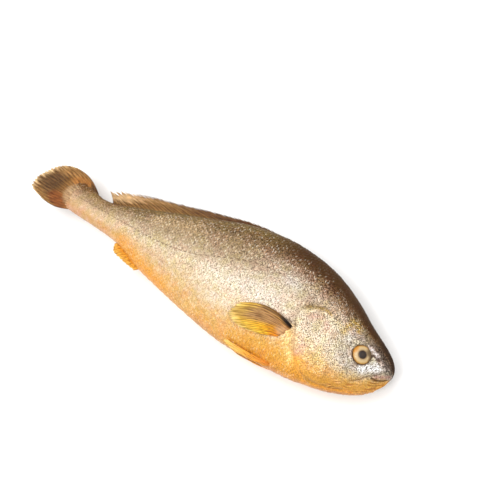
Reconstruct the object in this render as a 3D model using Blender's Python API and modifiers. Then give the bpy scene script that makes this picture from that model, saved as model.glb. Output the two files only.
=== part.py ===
"""A whole yellow croaker lying on its left flank, as one closed solid.

Metres, +Z up. The head points along +X, the back along +Y, and the right flank is on top.
Places on the fish are given as two lengths: how far behind the snout, and how high above the
body's axis, with the back positive. The body is a loft of egg-shaped sections. Mouth, gill
opening, eye sockets and nostrils are cut into it. Eyeballs and fins are fused to it.
"""
import math

import bmesh
import bpy
import numpy as np
from mathutils import Vector

# Overall size and the place of the fish in the frame
NODE_NAME = "yellow_croaker"
SNOUT_X = 0.1450
AXIS_Y = -0.0058
MIDPLANE_Z = 0.0195

# Behind the snout, back, belly, half width
BODY_STATIONS = (
    (0.000, 0.0018, -0.0012, 0.0010),
    (0.005, 0.0104, -0.0107, 0.0055),
    (0.013, 0.0160, -0.0185, 0.0090),
    (0.025, 0.0222, -0.0242, 0.0135),
    (0.040, 0.0312, -0.0286, 0.0170),
    (0.056, 0.0386, -0.0312, 0.0195),
    (0.076, 0.0434, -0.0328, 0.0215),
    (0.102, 0.0446, -0.0336, 0.0215),
    (0.128, 0.0404, -0.0304, 0.0195),
    (0.153, 0.0320, -0.0261, 0.0160),
    (0.178, 0.0232, -0.0210, 0.0120),
    (0.204, 0.0140, -0.0134, 0.0080),
    (0.222, 0.0084, -0.0119, 0.0060),
    (0.232, 0.0076, -0.0116, 0.0050),
    (0.242, 0.0098, -0.0112, 0.0040),
    (0.250, 0.0110, -0.0108, 0.0032),
)
TAIL_ROUND_START = 0.250
BODY_END = 0.2595
# Sections are a little wider above the axis than below it
EGG = 0.06
RING_POINTS = 40
SNOUT_END = 0.030
HEAD_END = 0.066
PEDUNCLE_END = 0.240
SNOUT_ROWS = 14
HEAD_ROWS = 13
TRUNK_ROWS = 24
TAIL_ROWS = 7

# Gill cover: its edge is a distance from a centre on the cheek, by angle from tailward
COVER_CENTRE = (0.0380, -0.0050)
COVER_EDGE = (
    (-105.0, 0.0195),
    (-60.0, 0.0210),
    (-25.0, 0.0194),
    (0.0, 0.0217),
    (22.0, 0.0262),
    (40.0, 0.0247),
    (58.0, 0.0225),
    (75.0, 0.0170),
)
COVER_LIFT = 0.0012
COVER_RAMP = 0.0200
COVER_BACK_DIP = 0.0006
COVER_DIP_LENGTH = 0.0070
GILL_SLIT_RADIUS = 0.0007

# Mouth: from the tip of the snout back to the corner, then the fold of the lower jaw
MOUTH_TIP = (0.0, -0.0004)
MOUTH_LINE = (
    (0.0010, -0.0009),
    (0.0052, -0.0034),
    (0.0092, -0.0053),
    (0.0121, -0.0072),
    (0.0148, -0.0107),
)
MOUTH_RADIUS = 0.0007
JAW_FOLD = ((0.0150, -0.0110), (0.0201, -0.0145), (0.0249, -0.0190))
JAW_FOLD_RADIUS = 0.0004

# Eyes and nostrils
EYE_PLACE = (0.0196, 0.0031)
SOCKET_RADIUS = 0.0062
SOCKET_DEPTH = 0.0020
EYEBALL_RADIUS = 0.0055
EYEBALL_DEPTH = 0.0026
EYEBALL_SINK = 0.0015
NOSTRILS = ((0.0106, 0.0058, 0.0009), (0.0080, 0.0066, 0.0006))

# Fins: thickness at a ray, the membrane's share of it, and how deep the tips are notched
RAY_THICKNESS = 0.0010
MEMBRANE_SHARE = 0.45
TIP_SHARE = 0.55
MEMBRANE_NOTCH = 0.06
FIN_ROOT_DEPTH = 0.0025

# Dorsal fin: base, lean of its rays towards the tail, and its height above the back
DORSAL_BASE = (0.092, 0.221)
DORSAL_LEAN = ((0.092, 0.008), (0.140, 0.012), (0.200, 0.013), (0.221, 0.0075))
DORSAL_HEIGHT = (
    (0.092, 0.0006),
    (0.122, 0.0024),
    (0.146, 0.0054),
    (0.170, 0.0076),
    (0.203, 0.0112),
    (0.216, 0.0112),
    (0.229, 0.0098),
)
DORSAL_RAYS = 36

# Anal fin, swept back against the body
ANAL_BASE = (0.175, 0.201)
ANAL_TIPS = ((0.0, 0.1800, -0.0236), (0.4, 0.1925, -0.0220), (0.8, 0.2020, -0.0190), (1.0, 0.2035, -0.0150))
ANAL_RAYS = 10

# Tail fin: base and ray tips from the upper edge to the lower edge
CAUDAL_BASE = ((0.0, 0.2390, 0.0080), (0.3, 0.2500, 0.0050), (0.6, 0.2530, -0.0020), (1.0, 0.2480, -0.0095))
CAUDAL_TIPS = (
    (0.0, 0.2655, 0.0176),
    (0.15, 0.2735, 0.0155),
    (0.45, 0.2830, 0.0054),
    (0.72, 0.2895, -0.0042),
    (0.88, 0.2860, -0.0108),
    (1.0, 0.2734, -0.0139),
)
CAUDAL_RAYS = 17

# Pectoral fins, lying back on the flanks: base and ray tips from the upper edge down
PECTORAL_BASE = ((0.0, 0.0615, -0.0056), (0.5, 0.0640, -0.0100), (1.0, 0.0665, -0.0142))
PECTORAL_TIPS = (
    (0.0, 0.0980, -0.0090),
    (0.25, 0.1020, -0.0140),
    (0.5, 0.0970, -0.0178),
    (0.75, 0.0900, -0.0194),
    (1.0, 0.0815, -0.0188),
)
PECTORAL_ARCH = 0.0028
PECTORAL_STAND_OFF = 0.0026
PECTORAL_RAYS = 15

# Pelvic fins, folded back under the belly: places are an angle below the flank's middle
PELVIC_BASE = ((0.0, 0.0640, -66.0), (1.0, 0.0660, -80.0))
PELVIC_TIPS = ((0.0, 0.0965, -64.0), (0.5, 0.0970, -72.0), (1.0, 0.0880, -82.0))
PELVIC_STAND_OFF = 0.0012
PELVIC_RAYS = 6

BLOCK = 0.4


def clear_scene():
    for obj in list(bpy.data.objects):
        bpy.data.objects.remove(obj, do_unlink=True)


def make_collection(name):
    collection = bpy.data.collections.new(name)
    bpy.context.scene.collection.children.link(collection)
    return collection


def make_material(name, colour, roughness):
    material = bpy.data.materials.new(name)
    material.use_nodes = True
    shader = material.node_tree.nodes["Principled BSDF"]
    shader.inputs["Base Color"].default_value = (*colour, 1.0)
    shader.inputs["Roughness"].default_value = roughness
    shader.inputs["Metallic"].default_value = 0.0
    return material


def smooth_curve(points, where):
    """Read a smooth curve through (place, value, ...) rows, one column for each value."""
    table = np.array(points, dtype=float)
    knots = table[:, 0]
    values = table[:, 1:]
    slopes = np.gradient(values, knots, axis=0)
    spot = float(np.clip(where, knots[0], knots[-1]))
    low = int(np.clip(np.searchsorted(knots, spot) - 1, 0, len(knots) - 2))
    span = knots[low + 1] - knots[low]
    t = (spot - knots[low]) / span
    start = (1 + 2 * t) * (1 - t) ** 2 * values[low] + t * (1 - t) ** 2 * span * slopes[low]
    end = t * t * (3 - 2 * t) * values[low + 1] + t * t * (t - 1) * span * slopes[low + 1]
    return start + end


def smooth_step(low, high, value):
    t = min(max((value - low) / (high - low), 0.0), 1.0)
    return t * t * (3 - 2 * t)


def body_profile(behind):
    """Back, belly and half width at a distance behind the snout."""
    rooted = [(math.sqrt(row[0]), *row[1:]) for row in BODY_STATIONS]
    back, belly, half_width = smooth_curve(rooted, math.sqrt(max(behind, 0.0)))
    if behind > TAIL_ROUND_START:
        reach = min((behind - TAIL_ROUND_START) / (BODY_END - TAIL_ROUND_START), 0.995)
        shrink = math.sqrt(1.0 - reach * reach)
        middle = (back + belly) / 2
        back = middle + (back - middle) * shrink
        belly = middle + (belly - middle) * shrink
        half_width = half_width * shrink
    return back, belly, half_width


def in_frame(behind, height, across):
    return Vector((SNOUT_X - behind, AXIS_Y + height, MIDPLANE_Z + across))


def section_point(behind, angle):
    """A point of the skin: angle 0 is the right flank, 90 degrees the back."""
    back, belly, half_width = body_profile(behind)
    height = (back + belly) / 2 + (back - belly) / 2 * math.sin(angle)
    across = half_width * math.cos(angle) * (1 + EGG * math.sin(angle))
    return in_frame(behind, height, across)


def section_angle(behind, height):
    back, belly, half_width = body_profile(behind)
    rise = (height - (back + belly) / 2) / ((back - belly) / 2)
    return math.asin(min(max(rise, -1.0), 1.0))


def skin_normal(behind, angle):
    step = 0.0005
    turn = 0.01
    along = section_point(behind + step, angle) - section_point(max(behind - step, 0.0), angle)
    around = section_point(behind, angle + turn) - section_point(behind, angle - turn)
    return around.cross(along).normalized()


def flank_place(behind, height, side, lift=0.0):
    """A point and its outward normal on the right (side 1) or left (side -1) flank."""
    angle = section_angle(behind, height)
    point = section_point(behind, angle)
    normal = skin_normal(behind, angle)
    point = point + normal * lift
    if side < 0:
        point.z = 2 * MIDPLANE_Z - point.z
        normal.z = -normal.z
    return point, normal


def cover_distance(behind, height):
    """Distance outside the gill cover's edge, negative on the cover, and the angle there."""
    tailward = behind - COVER_CENTRE[0]
    upward = height - COVER_CENTRE[1]
    angle = math.degrees(math.atan2(upward, tailward))
    edge = smooth_curve(COVER_EDGE, angle)[0]
    return math.hypot(tailward, upward) - edge, angle


def skin_relief(behind, height):
    """How far the gill cover stands out, with a dip in the shoulder behind its edge."""
    outside, angle = cover_distance(behind, height)
    fade = smooth_step(-120.0, -100.0, angle) * (1.0 - smooth_step(75.0, 105.0, angle))
    if outside < 0.0:
        return fade * COVER_LIFT * smooth_step(-COVER_RAMP, -0.002, outside)
    return -fade * COVER_BACK_DIP * (1.0 - smooth_step(0.0, COVER_DIP_LENGTH, outside))


def body_rows():
    """Distances of the sections: close at the snout and on the head, wider on the trunk."""
    snout = [SNOUT_END * (i / SNOUT_ROWS) ** 2 for i in range(SNOUT_ROWS)]
    head = list(np.linspace(SNOUT_END, HEAD_END, HEAD_ROWS, endpoint=False))
    trunk = list(np.linspace(HEAD_END, PEDUNCLE_END, TRUNK_ROWS, endpoint=False))
    swing = np.linspace(0.0, math.pi / 2, TAIL_ROWS)
    tail = [PEDUNCLE_END + (BODY_END - PEDUNCLE_END) * math.sin(turn) for turn in swing]
    return snout + head + trunk + tail


def make_body(collection, material):
    bm = bmesh.new()
    rings = []
    for behind in body_rows():
        ring = []
        for i in range(RING_POINTS):
            angle = 2 * math.pi * i / RING_POINTS
            point = section_point(behind, angle)
            height = point.y - AXIS_Y
            point += skin_normal(behind, angle) * skin_relief(behind, height)
            ring.append(bm.verts.new(point))
        rings.append(ring)
    for ring, after in zip(rings, rings[1:]):
        for i in range(RING_POINTS):
            j = (i + 1) % RING_POINTS
            bm.faces.new((ring[i], ring[j], after[j], after[i]))
    bm.faces.new(rings[0])
    bm.faces.new(rings[-1])
    bmesh.ops.recalc_face_normals(bm, faces=bm.faces)
    mesh = bpy.data.meshes.new(NODE_NAME)
    bm.to_mesh(mesh)
    bm.free()
    mesh.materials.append(material)
    body = bpy.data.objects.new(NODE_NAME, mesh)
    collection.objects.link(body)
    return body


def link_piece(name, mesh, collection, material):
    piece = bpy.data.objects.new(name, mesh)
    mesh.materials.append(material)
    collection.objects.link(piece)
    return piece


def tube_cutter(name, points, radius, collection, material):
    """A closed round tube through the points, for a groove in the skin."""
    data = bpy.data.curves.new(name, "CURVE")
    data.dimensions = "3D"
    data.bevel_depth = radius
    data.bevel_resolution = 1
    data.use_fill_caps = True
    spline = data.splines.new("POLY")
    spline.points.add(len(points) - 1)
    for knot, point in zip(spline.points, points):
        knot.co = (*point, 1.0)
    curve = bpy.data.objects.new(name, data)
    bpy.context.scene.collection.objects.link(curve)
    depsgraph = bpy.context.evaluated_depsgraph_get()
    mesh = bpy.data.meshes.new_from_object(curve.evaluated_get(depsgraph))
    bpy.data.objects.remove(curve, do_unlink=True)
    weld(mesh)
    return link_piece(name, mesh, collection, material)


def weld(mesh):
    bm = bmesh.new()
    bm.from_mesh(mesh)
    bmesh.ops.remove_doubles(bm, verts=bm.verts, dist=0.00001)
    bmesh.ops.recalc_face_normals(bm, faces=bm.faces)
    bm.to_mesh(mesh)
    bm.free()


def flank_line(places, side, count):
    """Points on the flank along a smooth line through a few places."""
    last = len(places) - 1
    rows = [(i / last, *place) for i, place in enumerate(places)]
    line = []
    for i in range(count):
        behind, height = smooth_curve(rows, i / (count - 1))
        line.append(flank_place(behind, height, side)[0])
    return line


def cut_mouth(cutters, material):
    """One groove from the right corner, round the tip, to the left corner."""
    right = flank_line(MOUTH_LINE, 1, 12)
    left = flank_line(MOUTH_LINE, -1, 12)
    tip = in_frame(MOUTH_TIP[0] - MOUTH_RADIUS / 2, MOUTH_TIP[1], 0.0)
    path = list(reversed(right)) + [tip] + left
    tube_cutter("mouth_cutter", path, MOUTH_RADIUS, cutters, material)
    for side in (1, -1):
        tube_cutter("jaw_fold_cutter", flank_line(JAW_FOLD, side, 9), JAW_FOLD_RADIUS, cutters, material)


def cut_gill_slits(cutters, material):
    for side in (1, -1):
        path = []
        for angle in np.linspace(COVER_EDGE[0][0], COVER_EDGE[-1][0], 28):
            reach = smooth_curve(COVER_EDGE, angle)[0]
            behind = COVER_CENTRE[0] + reach * math.cos(math.radians(angle))
            height = COVER_CENTRE[1] + reach * math.sin(math.radians(angle))
            path.append(flank_place(behind, height, side, lift=COVER_LIFT / 3)[0])
        tube_cutter("gill_slit_cutter", path, GILL_SLIT_RADIUS, cutters, material)


def flat_ball(name, place, side, radius, depth, sink, collection, material):
    """A ball flattened along the skin's normal, its centre sunk below the skin."""
    point, normal = flank_place(place[0], place[1], side, lift=-sink)
    bm = bmesh.new()
    bmesh.ops.create_uvsphere(bm, u_segments=16, v_segments=8, radius=1.0)
    turn = Vector((0.0, 0.0, 1.0)).rotation_difference(normal).to_matrix()
    for vert in bm.verts:
        flattened = Vector((vert.co.x * radius, vert.co.y * radius, vert.co.z * depth))
        vert.co = point + turn @ flattened
    mesh = bpy.data.meshes.new(name)
    bm.to_mesh(mesh)
    bm.free()
    return link_piece(name, mesh, collection, material)


def cut_head_openings(cutters, material):
    for side in (1, -1):
        flat_ball("socket_cutter", EYE_PLACE, side, SOCKET_RADIUS, SOCKET_DEPTH, 0.0, cutters, material)
        for behind, height, radius in NOSTRILS:
            flat_ball("nostril_cutter", (behind, height), side, radius, radius, 0.0, cutters, material)


def add_eyeballs(additions, material):
    for side in (1, -1):
        flat_ball("eyeball", EYE_PLACE, side, EYEBALL_RADIUS, EYEBALL_DEPTH, EYEBALL_SINK, additions, material)


def make_fin(name, surface, rays, rows, collection, material):
    """A sheet of rays and membrane. surface(u, v) runs along the base and out to the tips."""
    columns = 2 * rays - 1
    bm = bmesh.new()
    bmesh.ops.create_grid(bm, x_segments=columns - 1, y_segments=rows, size=0.5)
    shares = []
    for vert in bm.verts:
        u = vert.co.x + 0.5
        v = vert.co.y + 0.5
        is_ray = round(u * (columns - 1)) % 2 == 0
        reach = v if is_ray else v * (1.0 - MEMBRANE_NOTCH)
        share = (1.0 if is_ray else MEMBRANE_SHARE) * (1.0 - (1.0 - TIP_SHARE) * v)
        shares.append(share)
        vert.co = surface(u, reach)
    mesh = bpy.data.meshes.new(name)
    bm.to_mesh(mesh)
    bm.free()
    fin = link_piece(name, mesh, collection, material)
    group = fin.vertex_groups.new(name="thickness")
    for index, share in enumerate(shares):
        group.add([index], share, "REPLACE")
    solidify = fin.modifiers.new("Thickness", "SOLIDIFY")
    solidify.thickness = RAY_THICKNESS
    solidify.offset = 0.0
    solidify.vertex_group = group.name
    apply_modifiers(fin)
    weld(fin.data)
    return fin


def between(base, tip, v):
    return base + (tip - base) * v


def dorsal_surface(u, v):
    root = DORSAL_BASE[0] + (DORSAL_BASE[1] - DORSAL_BASE[0]) * u
    tip = root + smooth_curve(DORSAL_LEAN, root)[0]
    base_point = in_frame(root, body_profile(root)[0] - FIN_ROOT_DEPTH, 0.0)
    tip_height = body_profile(tip)[0] + smooth_curve(DORSAL_HEIGHT, tip)[0]
    return between(base_point, in_frame(tip, tip_height, 0.0), v)


def anal_surface(u, v):
    root = ANAL_BASE[0] + (ANAL_BASE[1] - ANAL_BASE[0]) * u
    base_point = in_frame(root, body_profile(root)[1] + FIN_ROOT_DEPTH, 0.0)
    behind, height = smooth_curve(ANAL_TIPS, u)
    return between(base_point, in_frame(behind, height, 0.0), v)


def caudal_surface(u, v):
    root = smooth_curve(CAUDAL_BASE, u)
    tip = smooth_curve(CAUDAL_TIPS, u)
    return between(in_frame(*root, 0.0), in_frame(*tip, 0.0), v)


def pectoral_surface(side):
    def surface(u, v):
        root = smooth_curve(PECTORAL_BASE, u)
        tip = smooth_curve(PECTORAL_TIPS, u)
        behind, height = root + (tip - root) * v
        height += PECTORAL_ARCH * (1.0 - u) * math.sin(math.pi * v)
        lift = PECTORAL_STAND_OFF * smooth_step(0.0, 0.6, v) - 0.0008 * (1.0 - v)
        return flank_place(behind, height, side, lift)[0]

    return surface


def pelvic_surface(side):
    def surface(u, v):
        root = smooth_curve(PELVIC_BASE, u)
        tip = smooth_curve(PELVIC_TIPS, u)
        behind, degrees = root + (tip - root) * v
        angle = math.radians(degrees)
        lift = PELVIC_STAND_OFF * smooth_step(0.0, 0.4, v) - 0.0006 * (1.0 - v)
        point = section_point(behind, angle) + skin_normal(behind, angle) * lift
        if side < 0:
            point.z = 2 * MIDPLANE_Z - point.z
        return point

    return surface


def add_fins(additions, material):
    make_fin("dorsal_fin", dorsal_surface, DORSAL_RAYS, 2, additions, material)
    make_fin("anal_fin", anal_surface, ANAL_RAYS, 2, additions, material)
    make_fin("caudal_fin", caudal_surface, CAUDAL_RAYS, 4, additions, material)
    for side in (1, -1):
        make_fin("pectoral_fin", pectoral_surface(side), PECTORAL_RAYS, 5, additions, material)
        make_fin("pelvic_fin", pelvic_surface(side), PELVIC_RAYS, 4, additions, material)


def cut_resting_flat(cutters, material):
    """A block under the flank, which leaves the flat spot that the fish rests on."""
    bm = bmesh.new()
    bmesh.ops.create_cube(bm, size=BLOCK)
    bmesh.ops.translate(bm, verts=bm.verts, vec=(0.0, 0.0, -BLOCK / 2))
    mesh = bpy.data.meshes.new("rest_cutter")
    bm.to_mesh(mesh)
    bm.free()
    link_piece("rest_cutter", mesh, cutters, material)


def apply_modifiers(obj):
    depsgraph = bpy.context.evaluated_depsgraph_get()
    applied = bpy.data.meshes.new_from_object(obj.evaluated_get(depsgraph))
    obj.modifiers.clear()
    obj.data = applied


def combine(body, collection, operation):
    """Cut the body by a collection, or fuse the collection to it, then remove the collection."""
    boolean = body.modifiers.new(operation.title(), "BOOLEAN")
    boolean.operand_type = "COLLECTION"
    boolean.collection = collection
    boolean.operation = operation
    boolean.solver = "MANIFOLD"
    apply_modifiers(body)
    for obj in list(collection.objects):
        bpy.data.objects.remove(obj, do_unlink=True)
    bpy.data.collections.remove(collection)


def keep_largest_shell(mesh):
    """Drop any loose scrap that the cuts leave."""
    bm = bmesh.new()
    bm.from_mesh(mesh)
    unseen = set(bm.verts)
    shells = []
    while unseen:
        front = [unseen.pop()]
        shell = set(front)
        while front:
            vert = front.pop()
            for edge in vert.link_edges:
                other = edge.other_vert(vert)
                if other in unseen:
                    unseen.remove(other)
                    shell.add(other)
                    front.append(other)
        shells.append(shell)
    shells.sort(key=len)
    for shell in shells[:-1]:
        bmesh.ops.delete(bm, geom=list(shell), context="VERTS")
    bm.to_mesh(mesh)
    bm.free()


def build():
    clear_scene()
    skin = make_material("skin", (0.86, 0.66, 0.38), 0.35)
    fin_skin = make_material("fin", (0.72, 0.40, 0.12), 0.45)
    eye_surface = make_material("eye", (0.72, 0.55, 0.30), 0.10)
    inside = make_material("opening", (0.30, 0.10, 0.05), 0.60)
    fish = make_collection("Yellow croaker")
    body = make_body(fish, skin)

    cutters = make_collection("Cutters")
    cut_mouth(cutters, inside)
    cut_gill_slits(cutters, inside)
    cut_head_openings(cutters, inside)
    combine(body, cutters, "DIFFERENCE")

    additions = make_collection("Fused pieces")
    add_eyeballs(additions, eye_surface)
    add_fins(additions, fin_skin)
    combine(body, additions, "UNION")

    underside = make_collection("Underside cutter")
    cut_resting_flat(underside, skin)
    combine(body, underside, "DIFFERENCE")
    keep_largest_shell(body.data)
    body.data.shade_smooth()
    body.data.set_sharp_from_angle(angle=math.radians(35.0))


build()
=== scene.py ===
"""The looks of the yellow croaker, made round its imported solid.

Metres, in the solid's frame: the head points along +X, the back along +Y, and the right flank
is up. A place on the fish is a distance behind the snout and an angle round the body, where 0
is the middle of the right flank, 90 degrees the back and -90 degrees the belly. A place on the
flank is a distance behind the snout and a height above the body's axis.
"""
import math

import bpy
import numpy as np
from mathutils import Matrix, Vector, noise


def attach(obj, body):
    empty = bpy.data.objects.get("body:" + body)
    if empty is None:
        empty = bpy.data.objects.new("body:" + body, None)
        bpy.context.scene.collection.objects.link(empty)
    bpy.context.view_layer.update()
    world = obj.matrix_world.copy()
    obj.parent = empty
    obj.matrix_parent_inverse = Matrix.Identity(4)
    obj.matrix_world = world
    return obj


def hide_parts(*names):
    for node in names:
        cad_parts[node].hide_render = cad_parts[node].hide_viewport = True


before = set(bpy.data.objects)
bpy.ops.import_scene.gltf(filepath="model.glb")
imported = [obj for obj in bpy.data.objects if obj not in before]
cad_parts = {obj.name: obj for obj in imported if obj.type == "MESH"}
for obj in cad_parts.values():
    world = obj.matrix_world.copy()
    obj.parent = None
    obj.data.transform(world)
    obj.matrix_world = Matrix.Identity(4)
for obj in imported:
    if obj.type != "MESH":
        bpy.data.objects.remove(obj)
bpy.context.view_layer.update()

NODE = "yellow_croaker"
BODY = "root"

# The body, as in the solid: behind the snout, back, belly, half width
SNOUT_X = 0.1450
AXIS_Y = -0.0058
MIDPLANE_Z = 0.0195
BODY_STATIONS = (
    (0.000, 0.0018, -0.0012, 0.0010), (0.005, 0.0104, -0.0107, 0.0055),
    (0.013, 0.0160, -0.0185, 0.0090), (0.025, 0.0222, -0.0242, 0.0135),
    (0.040, 0.0312, -0.0286, 0.0170), (0.056, 0.0386, -0.0312, 0.0195),
    (0.076, 0.0434, -0.0328, 0.0215), (0.102, 0.0446, -0.0336, 0.0215),
    (0.128, 0.0404, -0.0304, 0.0195), (0.153, 0.0320, -0.0261, 0.0160),
    (0.178, 0.0232, -0.0210, 0.0120), (0.204, 0.0140, -0.0134, 0.0080),
    (0.222, 0.0084, -0.0119, 0.0060), (0.232, 0.0076, -0.0116, 0.0050),
    (0.242, 0.0098, -0.0112, 0.0040), (0.250, 0.0110, -0.0108, 0.0032),
)
TAIL_ROUND_START = 0.250
BODY_END = 0.2595
EGG = 0.06

# Underside: what would lie this far below or above the floor is squashed into a thin layer
SQUASH = 0.0020
FLOOR_GAP = 0.0001

# Skin mesh: columns round each flank, rows ahead of the gill cover's edge and behind it,
# and how much closer the rows lie at the snout and at the tail
RIGHT_COLUMNS = 150
LEFT_COLUMNS = 110
HEAD_ROWS = 120
TRUNK_ROWS = 105
SNOUT_CLOSER = 0.35
TAIL_CLOSER = 1.15
# Eye mesh
EYE_RINGS = 34
EYE_SPOKES = 64
# Waves of the skin: size, seed, height
SKIN_WAVES = ((0.0016, 3.1, 0.00009), (0.012, 7.7, 0.00025))

# Gill cover: distance of its edge from a centre on the cheek, by angle from tailward
COVER_CENTRE = (0.0380, -0.0050)
COVER_EDGE = (
    (-105.0, 0.0195), (-60.0, 0.0210), (-25.0, 0.0194), (0.0, 0.0217), (22.0, 0.0262),
    (40.0, 0.0247), (58.0, 0.0225), (75.0, 0.0170),
)
COVER_LIFT = 0.0012
COVER_RAMP = 0.0200
COVER_DIP = 0.0007
COVER_DIP_LENGTH = 0.0070
COVER_FLAT = 0.0020
COVER_SOFT_EDGE = 0.0015
# Angles from tailward between which the cover's relief fades in and out
COVER_FADE_IN = (-120.0, -100.0)
COVER_FADE_OUT = (75.0, 105.0)
# Angles round the body between which its crisp edge fades in and out
EDGE_FADE_IN = (-78.0, -64.0)
EDGE_FADE_OUT = (15.0, 24.0)
# The part of the edge that the skin's rows follow, by angle from tailward, and how many places
# are read on it; then where the rows cross the nape and the throat
EDGE_SWEEP = (-74.0, 50.0, 60)
NAPE_ANGLE = 55.0
NAPE_EDGE = 0.0520
THROAT_EDGE = 0.0360
# The edge of the gill cover: place behind it, share of the lift
COVER_LIP = (
    (-0.0030, 1.00), (-0.0014, 1.03), (-0.0004, 0.98), (0.0001, 0.72), (0.0003, 0.34),
    (0.0004, -0.04), (0.0006, -0.34), (0.0010, -0.52), (0.0017, -0.58), (0.0028, -0.56),
)

# Eyes: place on the flank, and the socket
EYE_PLACE = (0.0197, 0.0023)
SOCKET_RADIUS = 0.0064
SOCKET_DEPTH = 0.0020
SOCKET_SLOPE = 0.0014
# The rim round the socket: height, place outside it, half width, and its dark ring's half width; the dark
# ring is painted shade on the socket's wall, fading out at its edge
ORBIT_RIM = 0.0004
ORBIT_OFFSET = 0.0006
ORBIT_HALF = 0.0007
SOCKET_SHADE_INSET = 0.0003
SOCKET_SHADE_HALF = 0.0005
# The eyeball, and in shares of its radius the pupil and the groove round it
EYEBALL_RADIUS = 0.0059
EYEBALL_DEPTH = 0.0026
EYEBALL_SINK = 0.0015
EYEBALL_EDGE = 0.995
PUPIL_SHARE = 0.40
PUPIL_GROOVE = 0.00022
PUPIL_GROOVE_HALF = 0.045
# Nostrils: place behind the snout and up the flank, depth, radius
NOSTRILS = ((0.0109, 0.0054, 0.0018, 0.0013), (0.0086, 0.0072, 0.0010, 0.0006))

# How many places are read on each line
LINE_STEPS = 48
# Lines on the head: places on the flank, depth (a negative one is a ridge), half width
CREASES = (
    (((0.0012, -0.0022), (0.0030, -0.0040), (0.0060, -0.0056), (0.0090, -0.0062)), 0.0012, 0.0006),
    (((0.0060, -0.0012), (0.0078, -0.0030), (0.0095, -0.0048), (0.0114, -0.0068)), 0.0007, 0.0005),
    (((0.0114, -0.0070), (0.0141, -0.0102), (0.0166, -0.0127), (0.0192, -0.0149)), 0.0005, 0.0007),
    (((0.0012, 0.0008), (0.0045, -0.0016), (0.0075, -0.0040)), -0.0007, 0.0009),
    (((0.0005, -0.0030), (0.0020, -0.0056), (0.0042, -0.0082)), 0.0011, 0.0022),
    (((0.0050, 0.0014), (0.0080, -0.0008), (0.0120, -0.0036), (0.0160, -0.0072)), -0.0004, 0.0014),
    (((0.0278, -0.0020), (0.0310, -0.0031), (0.0342, -0.0045)), 0.0004, 0.0005),
    (((0.0345, 0.0060), (0.0378, -0.0020), (0.0382, -0.0100), (0.0362, -0.0140)), 0.0005, 0.0010),
    (((0.0400, 0.0080), (0.0430, -0.0020), (0.0440, -0.0110)), -0.0004, 0.0018),
    (
        ((0.0593, 0.0082), (0.0567, 0.0098), (0.0541, 0.0110), (0.0507, 0.0121), (0.0465, 0.0118)),
        -0.0006,
        0.0012,
    ),
    (((0.0352, 0.0083), (0.0345, 0.0125), (0.0332, 0.0158)), 0.0005, 0.0016),
    (((0.0284, 0.0133), (0.0310, 0.0160)), 0.0004, 0.0014),
    (((0.0172, 0.0080), (0.0143, 0.0069), (0.0115, 0.0066)), -0.0008, 0.0008),
    (((0.0150, 0.0030), (0.0146, 0.0050), (0.0132, 0.0056)), 0.0008, 0.0006),
    (((0.0460, -0.0243), (0.0380, -0.0252), (0.0290, -0.0236), (0.0210, -0.0205)), 0.0004, 0.0010),
    (((0.0600, -0.0036), (0.0640, -0.0042), (0.0690, -0.0046)), 0.0008, 0.0010),
)
# Creases narrower than this also get painted shade, in full from this depth
FINE_CREASE = 0.0020
CREASE_SHADE_DEPTH = 0.0010
# Folds along the lower jaw: their middle line, half width, spacing, depth, slope and wander
FOLD_LINE = ((0.0050, -0.0095), (0.0120, -0.0145), (0.0200, -0.0190), (0.0300, -0.0230))
FOLD_REACH = 0.0056
FOLD_SPACING = 0.0017
FOLD_DEPTH = 0.00055
FOLD_SLOPE = 0.57
FOLD_WANDER = 0.0017
FOLD_WANDER_SIZE = 0.0040
FOLD_BREAK_SIZE = 0.0035
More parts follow.
